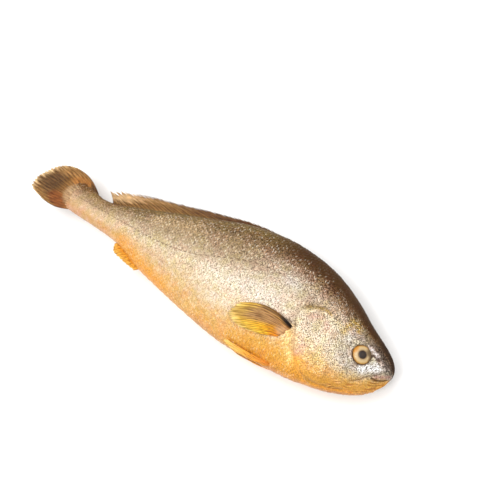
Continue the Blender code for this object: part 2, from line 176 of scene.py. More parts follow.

# Coloured marks, a few of them painted highlights and shade: places along each on the flank, half width
MARKS = {
    "straw": (
        (((0.0630, -0.0070), (0.0600, -0.0135), (0.0575, -0.0190), (0.0540, -0.0226)), 0.0032),
    ),
    "gold": (
        (
            ((0.0030, -0.0055), (0.0080, -0.0100), (0.0160, -0.0160), (0.0260, -0.0210), (0.0380, -0.0250)),
            0.0044,
        ),
    ),
    "olive": (
        (((0.0600, 0.0094), (0.0576, 0.0108), (0.0550, 0.0118), (0.0515, 0.0126)), 0.0019),
        (((0.0515, 0.0126), (0.0490, 0.0128), (0.0465, 0.0120)), 0.0012),
        (((0.0352, 0.0083), (0.0345, 0.0125), (0.0332, 0.0158)), 0.0022),
        (((0.0284, 0.0133), (0.0310, 0.0160)), 0.0020),
    ),
    "pink": (
        (((0.0510, -0.0120), (0.0525, -0.0165)), 0.0032),
        (((0.0440, 0.0050), (0.0455, 0.0062)), 0.0020),
        (((0.0500, 0.0080), (0.0560, 0.0050)), 0.0020),
    ),
    # Painted highlight along the ridge in front of the eye
    "pale": (
        (((0.0170, 0.0080), (0.0143, 0.0069), (0.0121, 0.0063)), 0.0011),
    ),
    "silver": (
        (((0.0088, 0.0000), (0.0120, -0.0014), (0.0165, -0.0050)), 0.0026),
    ),
    "grey": (
        (
            ((0.0150, 0.0112), (0.0110, 0.0092), (0.0078, 0.0070), (0.0052, 0.0046), (0.0030, 0.0018)),
            0.0032,
        ),
    ),
    "tan": (
        (((0.1550, 0.0180), (0.1680, 0.0140), (0.1780, 0.0120)), 0.0080),
    ),
    # Painted highlight: a cream band of light just behind the gill cover's lower edge
    "cream": (
        (((0.0560, -0.0190), (0.0545, -0.0214)), 0.0013),
    ),
    "lip": (
        (((0.0008, 0.0002), (0.0045, -0.0022), (0.0078, -0.0044)), 0.0010),
    ),
    # Painted highlights: patches of light on the flank and shoulder
    "sheen": (
        (((0.0820, 0.0030), (0.1000, 0.0005), (0.1250, -0.0035)), 0.0085),
        (((0.1060, -0.0130), (0.1180, -0.0140)), 0.0050),
        (((0.0720, 0.0160), (0.0780, 0.0170)), 0.0040),
    ),
    "rust": (
        (((0.0500, -0.0188), (0.0518, -0.0200)), 0.0025),
        (((0.1560, -0.0236), (0.1750, -0.0190), (0.1960, -0.0128)), 0.0068),
        (((0.0620, -0.0290), (0.0690, -0.0296), (0.0760, -0.0292)), 0.0007),
        (((0.0150, -0.0185), (0.0250, -0.0230), (0.0380, -0.0272)), 0.0008),
    ),
    # The first dark line is dark skin on top of the snout; the second and third are painted shade, in the
    # slit in front of the eye and in the pectoral fin's axil
    "dark": (
        (((0.0000, 0.0030), (0.0034, 0.0070), (0.0072, 0.0108), (0.0130, 0.0146)), 0.0032),
        (((0.0147, 0.0030), (0.0149, 0.0050), (0.0140, 0.0055), (0.0122, 0.0052)), 0.0008),
        (((0.0640, -0.0034), (0.0670, -0.0040), (0.0710, -0.0044)), 0.0011),
    ),
}

# Scales: spacing along and across, by distance behind the snout
SCALE_SPACING = (
    (0.045, 0.0030, 0.0028), (0.070, 0.0037, 0.0036), (0.150, 0.0037, 0.0034),
    (0.252, 0.0027, 0.0024),
)
# One scale, in spacings: its points across and along, front, rounding of the rear, half width,
# fall to its sides, and the sunk skirt behind it
SCALE_ACROSS = (-1.0, -0.62, 0.0, 0.62, 1.0)
SCALE_ALONG = (0.0, 0.45, 0.8, 1.0)
SCALE_FRONT = -0.55
SCALE_ROUNDING = 0.34
SCALE_ROUND_POWER = 2.2
SCALE_HALF_WIDTH = 0.60
SCALE_FALL = 0.35
SCALE_SKIRT = -1.2
# How scales differ: tilt, place, and where the bright dash, a painted glint, sits across them
SCALE_TILT = (0.75, 1.25)
SCALE_WOBBLE = 0.06
GLINT_DASH_SHIFT = 0.6
# How far a scale stands out: the lift, and in lifts the rise of its rear and sink of its front
SCALE_LIFT = 0.00036
SCALE_REAR_RISE = 1.35
SCALE_FRONT_SINK = 0.35
# Where the scales lie
SCALES_END = BODY_END - 0.0006
SCALE_SPAN = (0.0465, 0.2550)
SCALE_DEGREES = (-86.0, 88.0)
SCALE_COVER_GAP = 0.0012
SCALE_SEED = 11
HEAD_SCALE_SPACING = 0.0018
HEAD_SCALE_LIFT = 0.00022
HEAD_SCALE_SPAN = (0.0235, 0.0600)
HEAD_SCALE_SEED = 23
# Bare skin round the head's scales: on the gill cover's edge, round the eye, and below angles
# that differ on the snout and on the cheek; above the nape's angle they run on to the nape
HEAD_COVER_GAP = 0.0030
HEAD_EYE_GAP = 0.0088
SNOUT_END = 0.0320
SNOUT_LOWEST = -32.0
CHEEK_LOWEST = -50.0
HEAD_HIGHEST = 86.0
NAPE_SCALES_FROM = 24.0
NAPE_SCALES_TO = 0.0500
# The lateral line's tubes: where they start and end, half length in spacings, half width, height
TUBE_SPAN = (0.0600, 0.2500)
TUBE_HALF_LENGTH = 0.36
TUBE_HALF_WIDTH = 0.00032
TUBE_HEIGHT = 0.00022
TUBE_LIFT = 0.9 * SCALE_LIFT
TUBE_SIDES = 8
TUBE_STEPS = 7
LATERAL_LINE = (
    (0.057, 0.0150), (0.075, 0.0180), (0.100, 0.0172), (0.120, 0.0110), (0.140, 0.0035),
    (0.165, -0.0004), (0.200, -0.0006), (0.255, -0.0002),
)

# Fins: roots and tips near the solid's, by place behind the snout or by share across the fin;
# heights are above the body's axis, and those of the back fin above the back
FIN_ROOT_DEPTH = 0.0025
DORSAL_BASE = (0.092, 0.221)
DORSAL_LEAN = (
    (0.092, 0.0220), (0.130, 0.0260), (0.190, 0.0260), (0.205, 0.0235), (0.214, 0.0160),
    (0.221, 0.0095),
)
DORSAL_HEIGHT = (
    (0.092, 0.0006), (0.122, 0.0024), (0.146, 0.0054), (0.170, 0.0076), (0.203, 0.0112),
    (0.216, 0.0114), (0.225, 0.0106), (0.229, 0.0074),
)
ANAL_BASE = (0.175, 0.201)
ANAL_TIPS = (
    (0.0, 0.1800, -0.0236), (0.4, 0.1925, -0.0220), (0.8, 0.2020, -0.0190), (1.0, 0.2035, -0.0150),
)
CAUDAL_BASE = (
    (0.0, 0.2350, 0.0070), (0.3, 0.2500, 0.0050), (0.6, 0.2530, -0.0020), (1.0, 0.2480, -0.0095),
)
CAUDAL_TIPS = (
    (0.0, 0.2655, 0.0176), (0.15, 0.2730, 0.0155), (0.45, 0.2850, 0.0062), (0.72, 0.2895, -0.0042),
    (0.88, 0.2860, -0.0108), (1.0, 0.2734, -0.0139),
)
CAUDAL_UPPER_BULGE = 0.0034
CAUDAL_LOWER_BULGE = 0.0022
CAUDAL_ROOT_HALF = 0.0034
PECTORAL_BASE = ((0.0, 0.0615, -0.0056), (0.5, 0.0640, -0.0100), (1.0, 0.0665, -0.0142))
PECTORAL_TIPS = (
    (0.0, 0.0978, -0.0092), (0.25, 0.1010, -0.0158), (0.5, 0.0985, -0.0195),
    (0.75, 0.0915, -0.0208), (1.0, 0.0800, -0.0192),
)
PECTORAL_ARCH = 0.0046
PECTORAL_STAND_OFF = 0.0026
PECTORAL_ROOT_HALF = 0.0008
PELVIC_BASE = ((0.0, 0.0635, -69.0), (1.0, 0.0650, -76.0))
PELVIC_TIPS = ((0.0, 0.0965, -64.0), (0.5, 0.0970, -70.0), (1.0, 0.0890, -78.0))
PELVIC_STAND_OFF = 0.0008
MEMBRANE_HALF = 0.00010
MEMBRANE_DENT = 0.00016
MEMBRANE_STEPS = 5
MEMBRANE_ROWS = 24
RAY_SIDES = 6
# Branches of a soft ray: start, end, side, inner turn
BRANCHES = (
    (0.00, 0.55, 0.0, 0.0), (0.50, 1.00, -1.0, 0.0), (0.50, 1.00, 1.0, 0.0),
    (0.70, 0.98, -1.0, 1.0), (0.70, 0.98, 1.0, 1.0),
)

# How each fin is built: random seed, numbers of rays and spines, ray radius, notch and fray
# between the tips, half thickness and reach of the fleshy root, and the faces that carry rays,
# where 0 is its middle
FIN_KEYS = ("seed", "rays", "spines", "radius", "notch", "fray", "root", "faces")
BOTH = (1, -1)
CAUDAL_BUILD = dict(zip(FIN_KEYS, (41, 19, 1, 0.00042, 0.02, 0.035, (CAUDAL_ROOT_HALF, 0.55), BOTH)))
DORSAL_BUILD = dict(zip(FIN_KEYS, (42, 42, 10, 0.00036, 0.08, 0.12, (0.0, 1.0), (0,))))
ANAL_BUILD = dict(zip(FIN_KEYS, (43, 10, 2, 0.00034, 0.05, 0.04, (0.0010, 0.5), BOTH)))
PECTORAL_BUILD = dict(zip(FIN_KEYS, (44, 16, 1, 0.00036, 0.04, 0.03, (PECTORAL_ROOT_HALF, 0.4), BOTH)))
PELVIC_BUILD = dict(zip(FIN_KEYS, (45, 6, 1, 0.00036, 0.04, 0.03, (0.0004, 0.4), BOTH)))

# Camera, fitted to the photograph
CAMERA_TARGET = (0.0150, AXIS_Y, MIDPLANE_Z)
CAMERA_AZIMUTH = 61.46
CAMERA_ELEVATION = 65.04
CAMERA_ROLL = -30.0
CAMERA_DISTANCE = 0.4829
CAMERA_RIGHT = 0.02365
CAMERA_UP = 0.01673
CAMERA_LENS = 54.0
CAMERA_SENSOR = 36.0


# Shape of the fish

def smooth_curve(points, where):
    """Read a smooth curve through (place, value, ...) rows; the last axis holds the values."""
    table = np.array(points, dtype=float)
    knots = table[:, 0]
    values = table[:, 1:]
    slopes = np.gradient(values, knots, axis=0)
    spot = np.clip(np.asarray(where, dtype=float), knots[0], knots[-1])
    low = np.clip(np.searchsorted(knots, spot) - 1, 0, len(knots) - 2)
    span = (knots[low + 1] - knots[low])[..., None]
    t = (spot - knots[low])[..., None] / span
    start = (1 + 2 * t) * (1 - t) ** 2 * values[low] + t * (1 - t) ** 2 * span * slopes[low]
    end = t * t * (3 - 2 * t) * values[low + 1] + t * t * (t - 1) * span * slopes[low + 1]
    return start + end


def smooth_step(low, high, value):
    t = np.clip((value - low) / (high - low), 0.0, 1.0)
    return t * t * (3 - 2 * t)


def body_profile(behind):
    rooted = [(math.sqrt(row[0]), *row[1:]) for row in BODY_STATIONS]
    values = smooth_curve(rooted, np.sqrt(np.maximum(behind, 0.0)))
    back, belly, half_width = values[..., 0], values[..., 1], values[..., 2]
    reach = np.clip((behind - TAIL_ROUND_START) / (BODY_END - TAIL_ROUND_START), 0.0, 0.995)
    shrink = np.sqrt(1.0 - reach * reach)
    middle = (back + belly) / 2
    return middle + (back - middle) * shrink, middle + (belly - middle) * shrink, half_width * shrink


def in_frame(behind, height, across):
    parts = np.broadcast_arrays(SNOUT_X - behind, AXIS_Y + height, MIDPLANE_Z + across)
    return np.stack(parts, axis=-1)


def section_point(behind, angle):
    back, belly, half_width = body_profile(behind)
    height = (back + belly) / 2 + (back - belly) / 2 * np.sin(angle)
    across = half_width * np.cos(angle) * (1 + EGG * np.sin(angle))
    return in_frame(behind, height, across)


def section_angle(behind, height):
    back, belly, _ = body_profile(behind)
    rise = (height - (back + belly) / 2) / ((back - belly) / 2)
    return np.arcsin(np.clip(rise, -1.0, 1.0))


def unit(vectors):
    return vectors / np.maximum(np.linalg.norm(vectors, axis=-1, keepdims=True), 1e-12)


def skin_normal(behind, angle):
    step = 0.0005
    turn = 0.01
    along = section_point(behind + step, angle) - section_point(np.maximum(behind - step, 0.0), angle)
    around = section_point(behind, angle + turn) - section_point(behind, angle - turn)
    return unit(np.cross(around, along))


def mirrored(points):
    flipped = points.copy()
    flipped[..., 2] = 2 * MIDPLANE_Z - flipped[..., 2]
    return flipped


def upper_side(points):
    """The same places on the right flank, for features that both flanks share."""
    folded = points.copy()
    folded[..., 2] = MIDPLANE_Z + np.abs(points[..., 2] - MIDPLANE_Z)
    return folded


def on_floor(points):
    """Squash what the fish's weight presses flat, so that layers keep their order."""
    z = points[..., 2]
    pressed = (z + SQUASH) ** 2 / (4 * SQUASH) + FLOOR_GAP
    pressed = np.where(z < -SQUASH, FLOOR_GAP, pressed)
    points[..., 2] = np.where(z < SQUASH, pressed, z + FLOOR_GAP)
    return points


def flank_path(line, count):
    places = [(i / (len(line) - 1), *place) for i, place in enumerate(line)]
    read = smooth_curve(places, np.linspace(0.0, 1.0, count))
    behind, height = read[:, 0], read[:, 1]
    return section_point(behind, section_angle(behind, height))


def near_line(points, line, width):
    """How close points are to a line on the flank: 1 on it, fading over the width."""
    path = flank_path(line, LINE_STEPS)
    close = np.zeros(points.shape[:-1])
    lowest = path.min(axis=0) - 4 * width
    highest = path.max(axis=0) + 4 * width
    near = np.all((points > lowest) & (points < highest), axis=-1)
    if near.any():
        gaps = np.linalg.norm(points[near][:, None, :] - path[None, :, :], axis=-1).min(axis=1)
        close[near] = np.exp(-((gaps / width) ** 2))
    return close


def cover_distance(behind, height):
    """Distance outside the gill cover's edge, and the angle from the cover's centre."""
    tailward = behind - COVER_CENTRE[0]
    upward = height - COVER_CENTRE[1]
    angle = np.degrees(np.arctan2(upward, tailward))
    edge = smooth_curve(COVER_EDGE, angle)[..., 0]
    return np.hypot(tailward, upward) - edge, angle


def cover_edge_behind(fold):
    """Distance behind the snout of the gill cover's edge, by angle round the body."""
    turn = np.radians(np.linspace(*EDGE_SWEEP))
    reach = smooth_curve(COVER_EDGE, np.degrees(turn))[:, 0]
    behind = COVER_CENTRE[0] + reach * np.cos(turn)
    height = COVER_CENTRE[1] + reach * np.sin(turn)
    angles = section_angle(behind, height)
    order = np.argsort(angles)
    angles = np.concatenate(([-math.pi / 2], angles[order], [math.radians(NAPE_ANGLE), math.pi / 2]))
    behind = np.concatenate(([THROAT_EDGE], behind[order], [NAPE_EDGE, NAPE_EDGE]))
    return np.interp(fold, angles, behind)


def cover_edge_fade(fold):
    degrees = np.degrees(fold)
    return smooth_step(*EDGE_FADE_IN, degrees) * (1.0 - smooth_step(*EDGE_FADE_OUT, degrees))


def cover_relief(behind, height, fold):
    outside, angle = cover_distance(behind, height)
    fade = smooth_step(*COVER_FADE_IN, angle) * (1.0 - smooth_step(*COVER_FADE_OUT, angle))
    ramp = COVER_LIFT * smooth_step(-COVER_RAMP, -COVER_FLAT, outside)
    dip = -COVER_DIP * (1.0 - smooth_step(0.0, COVER_DIP_LENGTH, outside))
    crisp = np.where(outside < 0.0, ramp, dip)
    soft = ramp * (1.0 - smooth_step(-COVER_SOFT_EDGE, COVER_SOFT_EDGE, outside))
    aligned = cover_edge_fade(fold)
    return fade * (crisp * aligned + soft * (1.0 - aligned))


def eye_centre():
    place = np.array(EYE_PLACE)
    angle = section_angle(place[0], place[1])
    return section_point(place[0], angle), skin_normal(place[0], angle)


def ripple(points, size, seed):
    """Smooth noise between -1 and 1 at each point, with features of about the given size."""
    flat = points.reshape(-1, 3) / size + seed
    values = [noise.noise(Vector(place)) for place in flat.tolist()]
    return np.array(values).reshape(points.shape[:-1])


def jaw_folds(folded):
    """Wavering folds along the lower jaw, broken here and there: 1 on a crest, -1 in a groove."""
    across = folded[..., 1] - FOLD_SLOPE * folded[..., 0]
    across = across + FOLD_WANDER * ripple(folded, FOLD_WANDER_SIZE, 1.3)
    broken = np.clip(0.35 + 1.6 * ripple(folded, FOLD_BREAK_SIZE, 9.2), 0.0, 1.0)
    waves = np.sin(2 * math.pi * across / FOLD_SPACING)
    return broken * near_line(folded, FOLD_LINE, FOLD_REACH) * waves


def head_relief(base, masks):
    """Mouth, folds, eye sockets and nostrils, as an offset along the skin's normal."""
    folded = upper_side(base)
    offset = np.zeros(base.shape[:-1])
    for line, depth, width in CREASES:
        close = near_line(folded, line, width)
        offset -= depth * close
        # Fine creases also get painted shade, the more the deeper they are
        if 0 < depth and width < FINE_CREASE:
            masks["crease_shade"] = np.maximum(masks["crease_shade"], close * min(depth / CREASE_SHADE_DEPTH, 1.0))
    masks["fold"] = jaw_folds(folded)
    offset += FOLD_DEPTH * masks["fold"]
    centre, _ = eye_centre()
    gap = np.linalg.norm(folded - centre, axis=-1)
    offset -= SOCKET_DEPTH * (1.0 - smooth_step(SOCKET_RADIUS - SOCKET_SLOPE, SOCKET_RADIUS, gap))
    offset += ORBIT_RIM * np.exp(-(((gap - SOCKET_RADIUS - ORBIT_OFFSET) / ORBIT_HALF) ** 2))
    # Painted shade on the socket's wall, heavier towards the tail and the belly
    rearward = ((centre - folded)[..., 0] + (centre - folded)[..., 1]) / np.maximum(gap, 0.001)
    outside = np.maximum(gap - SOCKET_RADIUS + SOCKET_SHADE_INSET, 0.0)
    ring = np.exp(-((outside / SOCKET_SHADE_HALF) ** 2))
    masks["socket_shade"] = ring * (0.55 + 0.35 * np.clip(rearward, -1.0, 1.0))
    for behind, height, depth, radius in NOSTRILS:
        place = section_point(behind, section_angle(behind, height))
        close = np.exp(-((np.linalg.norm(folded - place, axis=-1) / radius) ** 4))
        offset -= depth * close
        # The nostrils' hollows get painted shade too
        masks["crease_shade"] = np.maximum(masks["crease_shade"], close)
    return offset


def skin_values(behind, angle):
    """What the materials read at each place: where it is on the fish, and its coloured marks, a few of
    which are painted highlights and shade.
    """
    base = upper_side(section_point(behind, angle))
    values = {"behind": behind / BODY_END, "girth": np.sin(angle) * 0.5 + 0.5}
    for name, lines in MARKS.items():
        values[name] = np.max([near_line(base, line, width) for line, width in lines], axis=0)
    return values


def skin_surface(behind, angle, masks=None):
    """Points of the finished skin, without the gill cover's lip."""
    base = section_point(behind, angle)
    normal = skin_normal(behind, angle)
    fold = np.arcsin(np.clip(np.sin(angle), -1.0, 1.0))
    height = base[..., 1] - AXIS_Y
    offset = cover_relief(behind, height, fold)
    if masks is not None:
        offset = offset + head_relief(base, masks)
    return base + normal * offset[..., None], normal, offset


# Meshes

def place_object(name, data):
    made = bpy.data.objects.new(name, data)
    bpy.context.scene.collection.objects.link(made)
    return made


class Pieces:
    """Collects points, faces and named values for one mesh."""

    def __init__(self):
        self.points = []
        self.faces = []
        self.values = {}
        self.count = 0

    def add(self, points, faces, **values):
        flat = points.reshape(-1, 3)
        self.points.append(flat)
        self.faces.append(np.asarray(faces).reshape(-1, 4) + self.count)
        for name, value in values.items():
            spread = np.broadcast_to(value, points.shape[:-1]).reshape(-1)
            self.values.setdefault(name, []).append(spread)
        self.count += len(flat)

    def make(self, name, material):
        points = np.concatenate(self.points)
        faces = np.concatenate(self.faces).tolist()
        quads = [tuple(face) if face[2] != face[3] else tuple(face[:3]) for face in faces]
        mesh = bpy.data.meshes.new(name)
        mesh.from_pydata(points.tolist(), [], quads)
        for key, parts in self.values.items():
            layer = mesh.attributes.new(key, "FLOAT", "POINT")
            layer.data.foreach_set("value", np.concatenate(parts).astype(np.float32))
        mesh.shade_smooth()
        mesh.materials.append(material)
        return place_object(name, mesh)


def grid_faces(rows, columns, wrap=False):
    """Quads of a grid of points, row after row; the last column joins the first if it wraps."""
    across = columns if wrap else columns - 1
    i, j = np.meshgrid(np.arange(rows - 1), np.arange(across), indexing="ij")
    after = (j + 1) % columns
    row = i * columns
    ahead = row + columns
    return np.stack((row + j, row + after, ahead + after, ahead + j), axis=-1).reshape(-1, 4)


def present(piece):
    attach(piece, BODY)
    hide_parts(NODE)
    return piece


# Skin

def skin_columns():
    right = np.linspace(-math.pi / 2, math.pi / 2, RIGHT_COLUMNS, endpoint=False)
    left = np.linspace(math.pi / 2, 3 * math.pi / 2, LEFT_COLUMNS, endpoint=False)
    return np.concatenate((right, left))


def skin_rows(fold):
    """Place of each row behind the snout, along the gill cover's edge, and how far its lip shows."""
    edge = cover_edge_behind(fold)[None, :]
    fade = cover_edge_fade(fold)[None, :]
    lead = COVER_LIP[0][0]
    trail = COVER_LIP[-1][0]
    t = np.linspace(0.0, 1.0, HEAD_ROWS)[:, None]
    start = t ** 1.5 * SNOUT_CLOSER + t * (1.0 - SNOUT_CLOSER)
    head = start * (edge + lead)
    lip_steps = np.array([step for step, _ in COVER_LIP])[1:-1, None]
    lip_rest = np.linspace(lead, trail, len(COVER_LIP))[1:-1, None]
    lip = edge + lip_steps * fade + lip_rest * (1.0 - fade)
    t = np.linspace(0.0, 1.0, TRUNK_ROWS)[:, None]
    trunk = edge + trail + (BODY_END - edge - trail) * (1.0 - (1.0 - t) ** TAIL_CLOSER)
    return np.concatenate((head, lip, trunk)), fade


def skin_piece(material):
    angle = skin_columns()[None, :]
    fold = np.arcsin(np.sin(angle))
    behind, fade = skin_rows(fold[0])
    angle = np.broadcast_to(angle, behind.shape)
    fold = np.broadcast_to(fold, behind.shape)
    masks = {"crease_shade": np.zeros(behind.shape)}
    points, normal, offset = skin_surface(behind, angle, masks)
    lip_shares = np.array([share for _, share in COVER_LIP])[1:-1, None]
    lip = slice(HEAD_ROWS, HEAD_ROWS + len(lip_shares))
    lift = lip_shares * COVER_LIFT * fade + offset[lip] * (1.0 - fade)
    points[lip] += normal[lip] * (lift - offset[lip])[..., None]
    waves = sum(ripple(points, size, seed) * rise for size, seed, rise in SKIN_WAVES)
    points = on_floor(points + normal * waves[..., None])
    pieces = Pieces()
    rows, columns = behind.shape
    faces = grid_faces(rows, columns, wrap=True)[:, ::-1]
    caps = cap_faces(0, columns, True) + cap_faces(rows - 1, columns, False)
    pieces.add(points, np.concatenate((faces, caps)), **masks, **skin_values(behind, angle))
    return present(pieces.make("skin", material))


def cap_faces(row, columns, front):
    """Close a round end with strips of quads from one side to the other."""
    start = row * columns
    quads = []
    for i in range(columns // 2 - 1):
        quad = (start + i, start + i + 1, start + columns - 2 - i, start + columns - 1 - i)
        quads.append(quad if front else quad[::-1])
    return quads


# Scales

def scale_shape():
    """Local places on one scale (along, across, rise), with a sunk skirt behind it."""
    across = np.array(SCALE_ACROSS)
    along = np.array(SCALE_ALONG)
    rear = 1.0 - SCALE_ROUNDING * np.abs(across) ** SCALE_ROUND_POWER
    x = SCALE_FRONT + (rear[None, :] - SCALE_FRONT) * along[:, None]
    y = np.broadcast_to(across[None, :] * SCALE_HALF_WIDTH, x.shape)
    rise = along[:, None] * (1.0 - SCALE_FALL * across[None, :] ** 2)
    x = np.concatenate((x, x[-1:]))
    y = np.concatenate((y, y[-1:]))
    rise = np.concatenate((rise, np.full((1, len(across)), SCALE_SKIRT)))
    return x, y, rise, along


def scale_lattice(first, last, spacing):
    """Centres of the scales: columns along the body, each second one shifted half a scale."""
    centres = []
    behind = first
    column = 0
    turn = np.linspace(-math.pi / 2, math.pi / 2, 240)
    while behind < last:
        along, across = spacing(behind)
        arc = section_point(behind, turn)
        lengths = np.concatenate(([0.0], np.cumsum(np.linalg.norm(np.diff(arc, axis=0), axis=1))))
        line_angle = section_angle(behind, smooth_curve(LATERAL_LINE, behind)[0])
        origin = np.interp(line_angle, turn, lengths)
        shift = 0.5 * (column % 2)
        low = math.ceil(-origin / across - shift)
        high = math.floor((lengths[-1] - origin) / across - shift)
        rows = np.arange(low, high + 1) + shift
        folds = np.interp(origin + rows * across, lengths, turn)
        for fold in folds:
            centres.append((behind, fold, along, across))
        behind += along / 2
        column += 1
    return np.array(centres)


def arc_stretch(behind, fold):
    """Length of skin round the body for each radian."""
    turn = 0.02
    chord = section_point(behind, fold + turn) - section_point(behind, fold - turn)
    return np.linalg.norm(chord, axis=-1) / (2 * turn)


def add_scales(pieces, centres, side, lift, random):
    """Leaf-like scales on one flank, each tilted out of the skin towards its rear."""
    x, y, rise, along = scale_shape()
    spot, fold, size_along, size_across = (centres[:, i][:, None, None] for i in range(4))
    count = len(centres)
    tone = random.uniform(-1.0, 1.0, count)[:, None, None]
    tilt = random.uniform(*SCALE_TILT, count)[:, None, None]
    wobble = random.uniform(-SCALE_WOBBLE, SCALE_WOBBLE, (2, count, 1, 1))
    behind = np.clip(spot + (x[None] + wobble[0]) * size_along, 0.0, SCALES_END)
    fold = fold + (y[None] + wobble[1]) * size_across / arc_stretch(spot, fold)
    angle = fold if side > 0 else math.pi - fold
    points, normal, _ = skin_surface(behind, angle)
    height = lift * (rise[None] * tilt * SCALE_REAR_RISE - SCALE_FRONT_SINK)
    points = on_floor(points + normal * height[..., None])
    rows, columns = x.shape
    local = grid_faces(rows, columns)
    if side < 0:
        local = local[:, ::-1]
    faces = local[None] + (np.arange(count) * rows * columns)[:, None, None]
    edge = np.concatenate((along, [1.0]))[None, :, None]
    glint_dash = random.uniform(-GLINT_DASH_SHIFT, GLINT_DASH_SHIFT, count)[:, None, None]
    beside = np.abs(y[None] / SCALE_HALF_WIDTH - glint_dash)
    pieces.add(points, faces, tone=tone, edge=edge, beside=beside, **skin_values(behind, angle))


def trunk_spacing(behind):
    along, across = smooth_curve(SCALE_SPACING, behind)
    return float(along), float(across)


def head_spacing(behind):
    """The same all over the head."""
    return HEAD_SCALE_SPACING, HEAD_SCALE_SPACING


def trunk_scales_piece(material):
    random = np.random.default_rng(SCALE_SEED)
    pieces = Pieces()
    centres = scale_lattice(*SCALE_SPAN, trunk_spacing)
    degrees = np.degrees(centres[:, 1])
    lowest, highest = SCALE_DEGREES
    clear = centres[:, 0] > cover_edge_behind(centres[:, 1]) + SCALE_COVER_GAP
    keep = clear & (degrees > lowest) & (degrees < highest)
    for side in (1, -1):
        add_scales(pieces, centres[keep], side, SCALE_LIFT, random)
    return present(pieces.make("scales", material))


def head_scales_piece(material):
    random = np.random.default_rng(HEAD_SCALE_SEED)
    pieces = Pieces()
    centres = scale_lattice(*HEAD_SCALE_SPAN, head_spacing)
    behind, fold = centres[:, 0], centres[:, 1]
    degrees = np.degrees(fold)
    eye, _ = eye_centre()
    nape = (degrees > NAPE_SCALES_FROM) & (behind < NAPE_SCALES_TO)
    keep = (behind < cover_edge_behind(fold) - HEAD_COVER_GAP) | nape
    keep &= np.linalg.norm(section_point(behind, fold) - eye, axis=1) > HEAD_EYE_GAP
    lowest = np.where(behind > SNOUT_END, CHEEK_LOWEST, SNOUT_LOWEST)
    keep &= (degrees > lowest) & (degrees < HEAD_HIGHEST)
    for side in (1, -1):
        add_scales(pieces, centres[keep], side, HEAD_SCALE_LIFT, random)
    return present(pieces.make("head_scales", material))


def lateral_line_piece(material):
    """One short raised tube on each scale of the lateral line."""
    pieces = Pieces()
    turn = np.linspace(0.0, 2 * math.pi, TUBE_SIDES, endpoint=False)
    sideways = TUBE_HALF_WIDTH * np.cos(turn)[None, :, None]
    upward = TUBE_HEIGHT * np.sin(turn)[None, :, None]
    length = np.linspace(-1.0, 1.0, TUBE_STEPS)
    swell = np.sqrt(np.maximum(1.0 - length ** 2, 0.0)) * 0.9 + 0.1
    faces = grid_faces(TUBE_STEPS, TUBE_SIDES, wrap=True)[:, ::-1]
    behind, last = TUBE_SPAN
    while behind < last:
        along, _ = trunk_spacing(behind)
        places = behind + length * along * TUBE_HALF_LENGTH
        heights = smooth_curve(LATERAL_LINE, places)[:, 0]
        angles = section_angle(places, heights)
        for side in (1, -1):
            turned = angles if side > 0 else math.pi - angles
            centre, normal, _ = skin_surface(places, turned)
            beside = unit(np.cross(normal, np.gradient(centre, axis=0)))
            ring = sideways * beside[:, None] + upward * normal[:, None]
            points = centre[:, None] + normal[:, None] * TUBE_LIFT + ring * swell[:, None, None]
            values = skin_values(places[:, None], turned[:, None])
            pieces.add(on_floor(points), faces, tone=-1.0, edge=0.6, beside=1.0, line=1.0, **values)
        behind += along
    return present(pieces.make("lateral_line", material))


# Fins

def fin_normal(surface, u, v):
    step = 0.01
    across = surface(np.clip(u + step, 0, 1), v) - surface(np.clip(u - step, 0, 1), v)
    out = surface(u, np.clip(v + step, 0, 1)) - surface(u, np.clip(v - step, 0, 1))
    return unit(np.cross(across, out))


def membrane(pieces, fin, random):
    """A thin closed sheet over the rays, dented between them and torn a little at the tips."""
    columns = (fin["rays"] - 1) * MEMBRANE_STEPS + 1
    u = np.linspace(0.0, 1.0, columns)
    gaps = np.arange(columns) // MEMBRANE_STEPS
    between_rays = np.sin(np.pi * (np.arange(columns) % MEMBRANE_STEPS) / MEMBRANE_STEPS)
    torn = fin["notch"] + fin["fray"] * random.uniform(0.0, 1.0, columns)
    reach = 1.0 - torn * between_rays
    v = np.linspace(0.0, 1.0, MEMBRANE_ROWS)[:, None] * reach[None, :]
    u = np.broadcast_to(u, v.shape)
    normal = fin_normal(fin["surface"], u, v)
    dent = np.where(gaps % 2 == 0, MEMBRANE_DENT, -MEMBRANE_DENT) * between_rays
    middle = fin["surface"](u, v) + normal * dent[None, :, None]
    half = fin_half(fin, u, v)[..., None] * normal
    points = np.stack((middle + half, middle - half))
    rows = len(v)
    face = grid_faces(rows, columns)
    faces = np.concatenate((face, face[:, ::-1] + rows * columns, rim_faces(rows, columns)))
    pieces.add(on_floor(points), faces, fin_u=np.stack((u, u)), fin_v=np.stack((v, v)), ray=0.0)


def rim_faces(rows, columns):
    """Quads that join the two faces of a sheet along its four sides."""
    count = rows * columns
    index = np.arange(count).reshape(rows, columns)
    loop = np.concatenate((index[0, :-1], index[:-1, -1], index[-1, :0:-1], index[:0:-1, 0]))
    after = np.roll(loop, -1)
    return np.stack((after, loop, loop + count, after + count), axis=1)


def fin_half(fin, u, v):
    """Half thickness of the membrane: thick at a fleshy root, thin beyond it."""
    root, reach = fin["root"]
    flesh = root * (1.0 - np.abs(2 * u - 1) ** 3) * (1.0 - smooth_step(-0.08, reach, v))
    return MEMBRANE_HALF + flesh


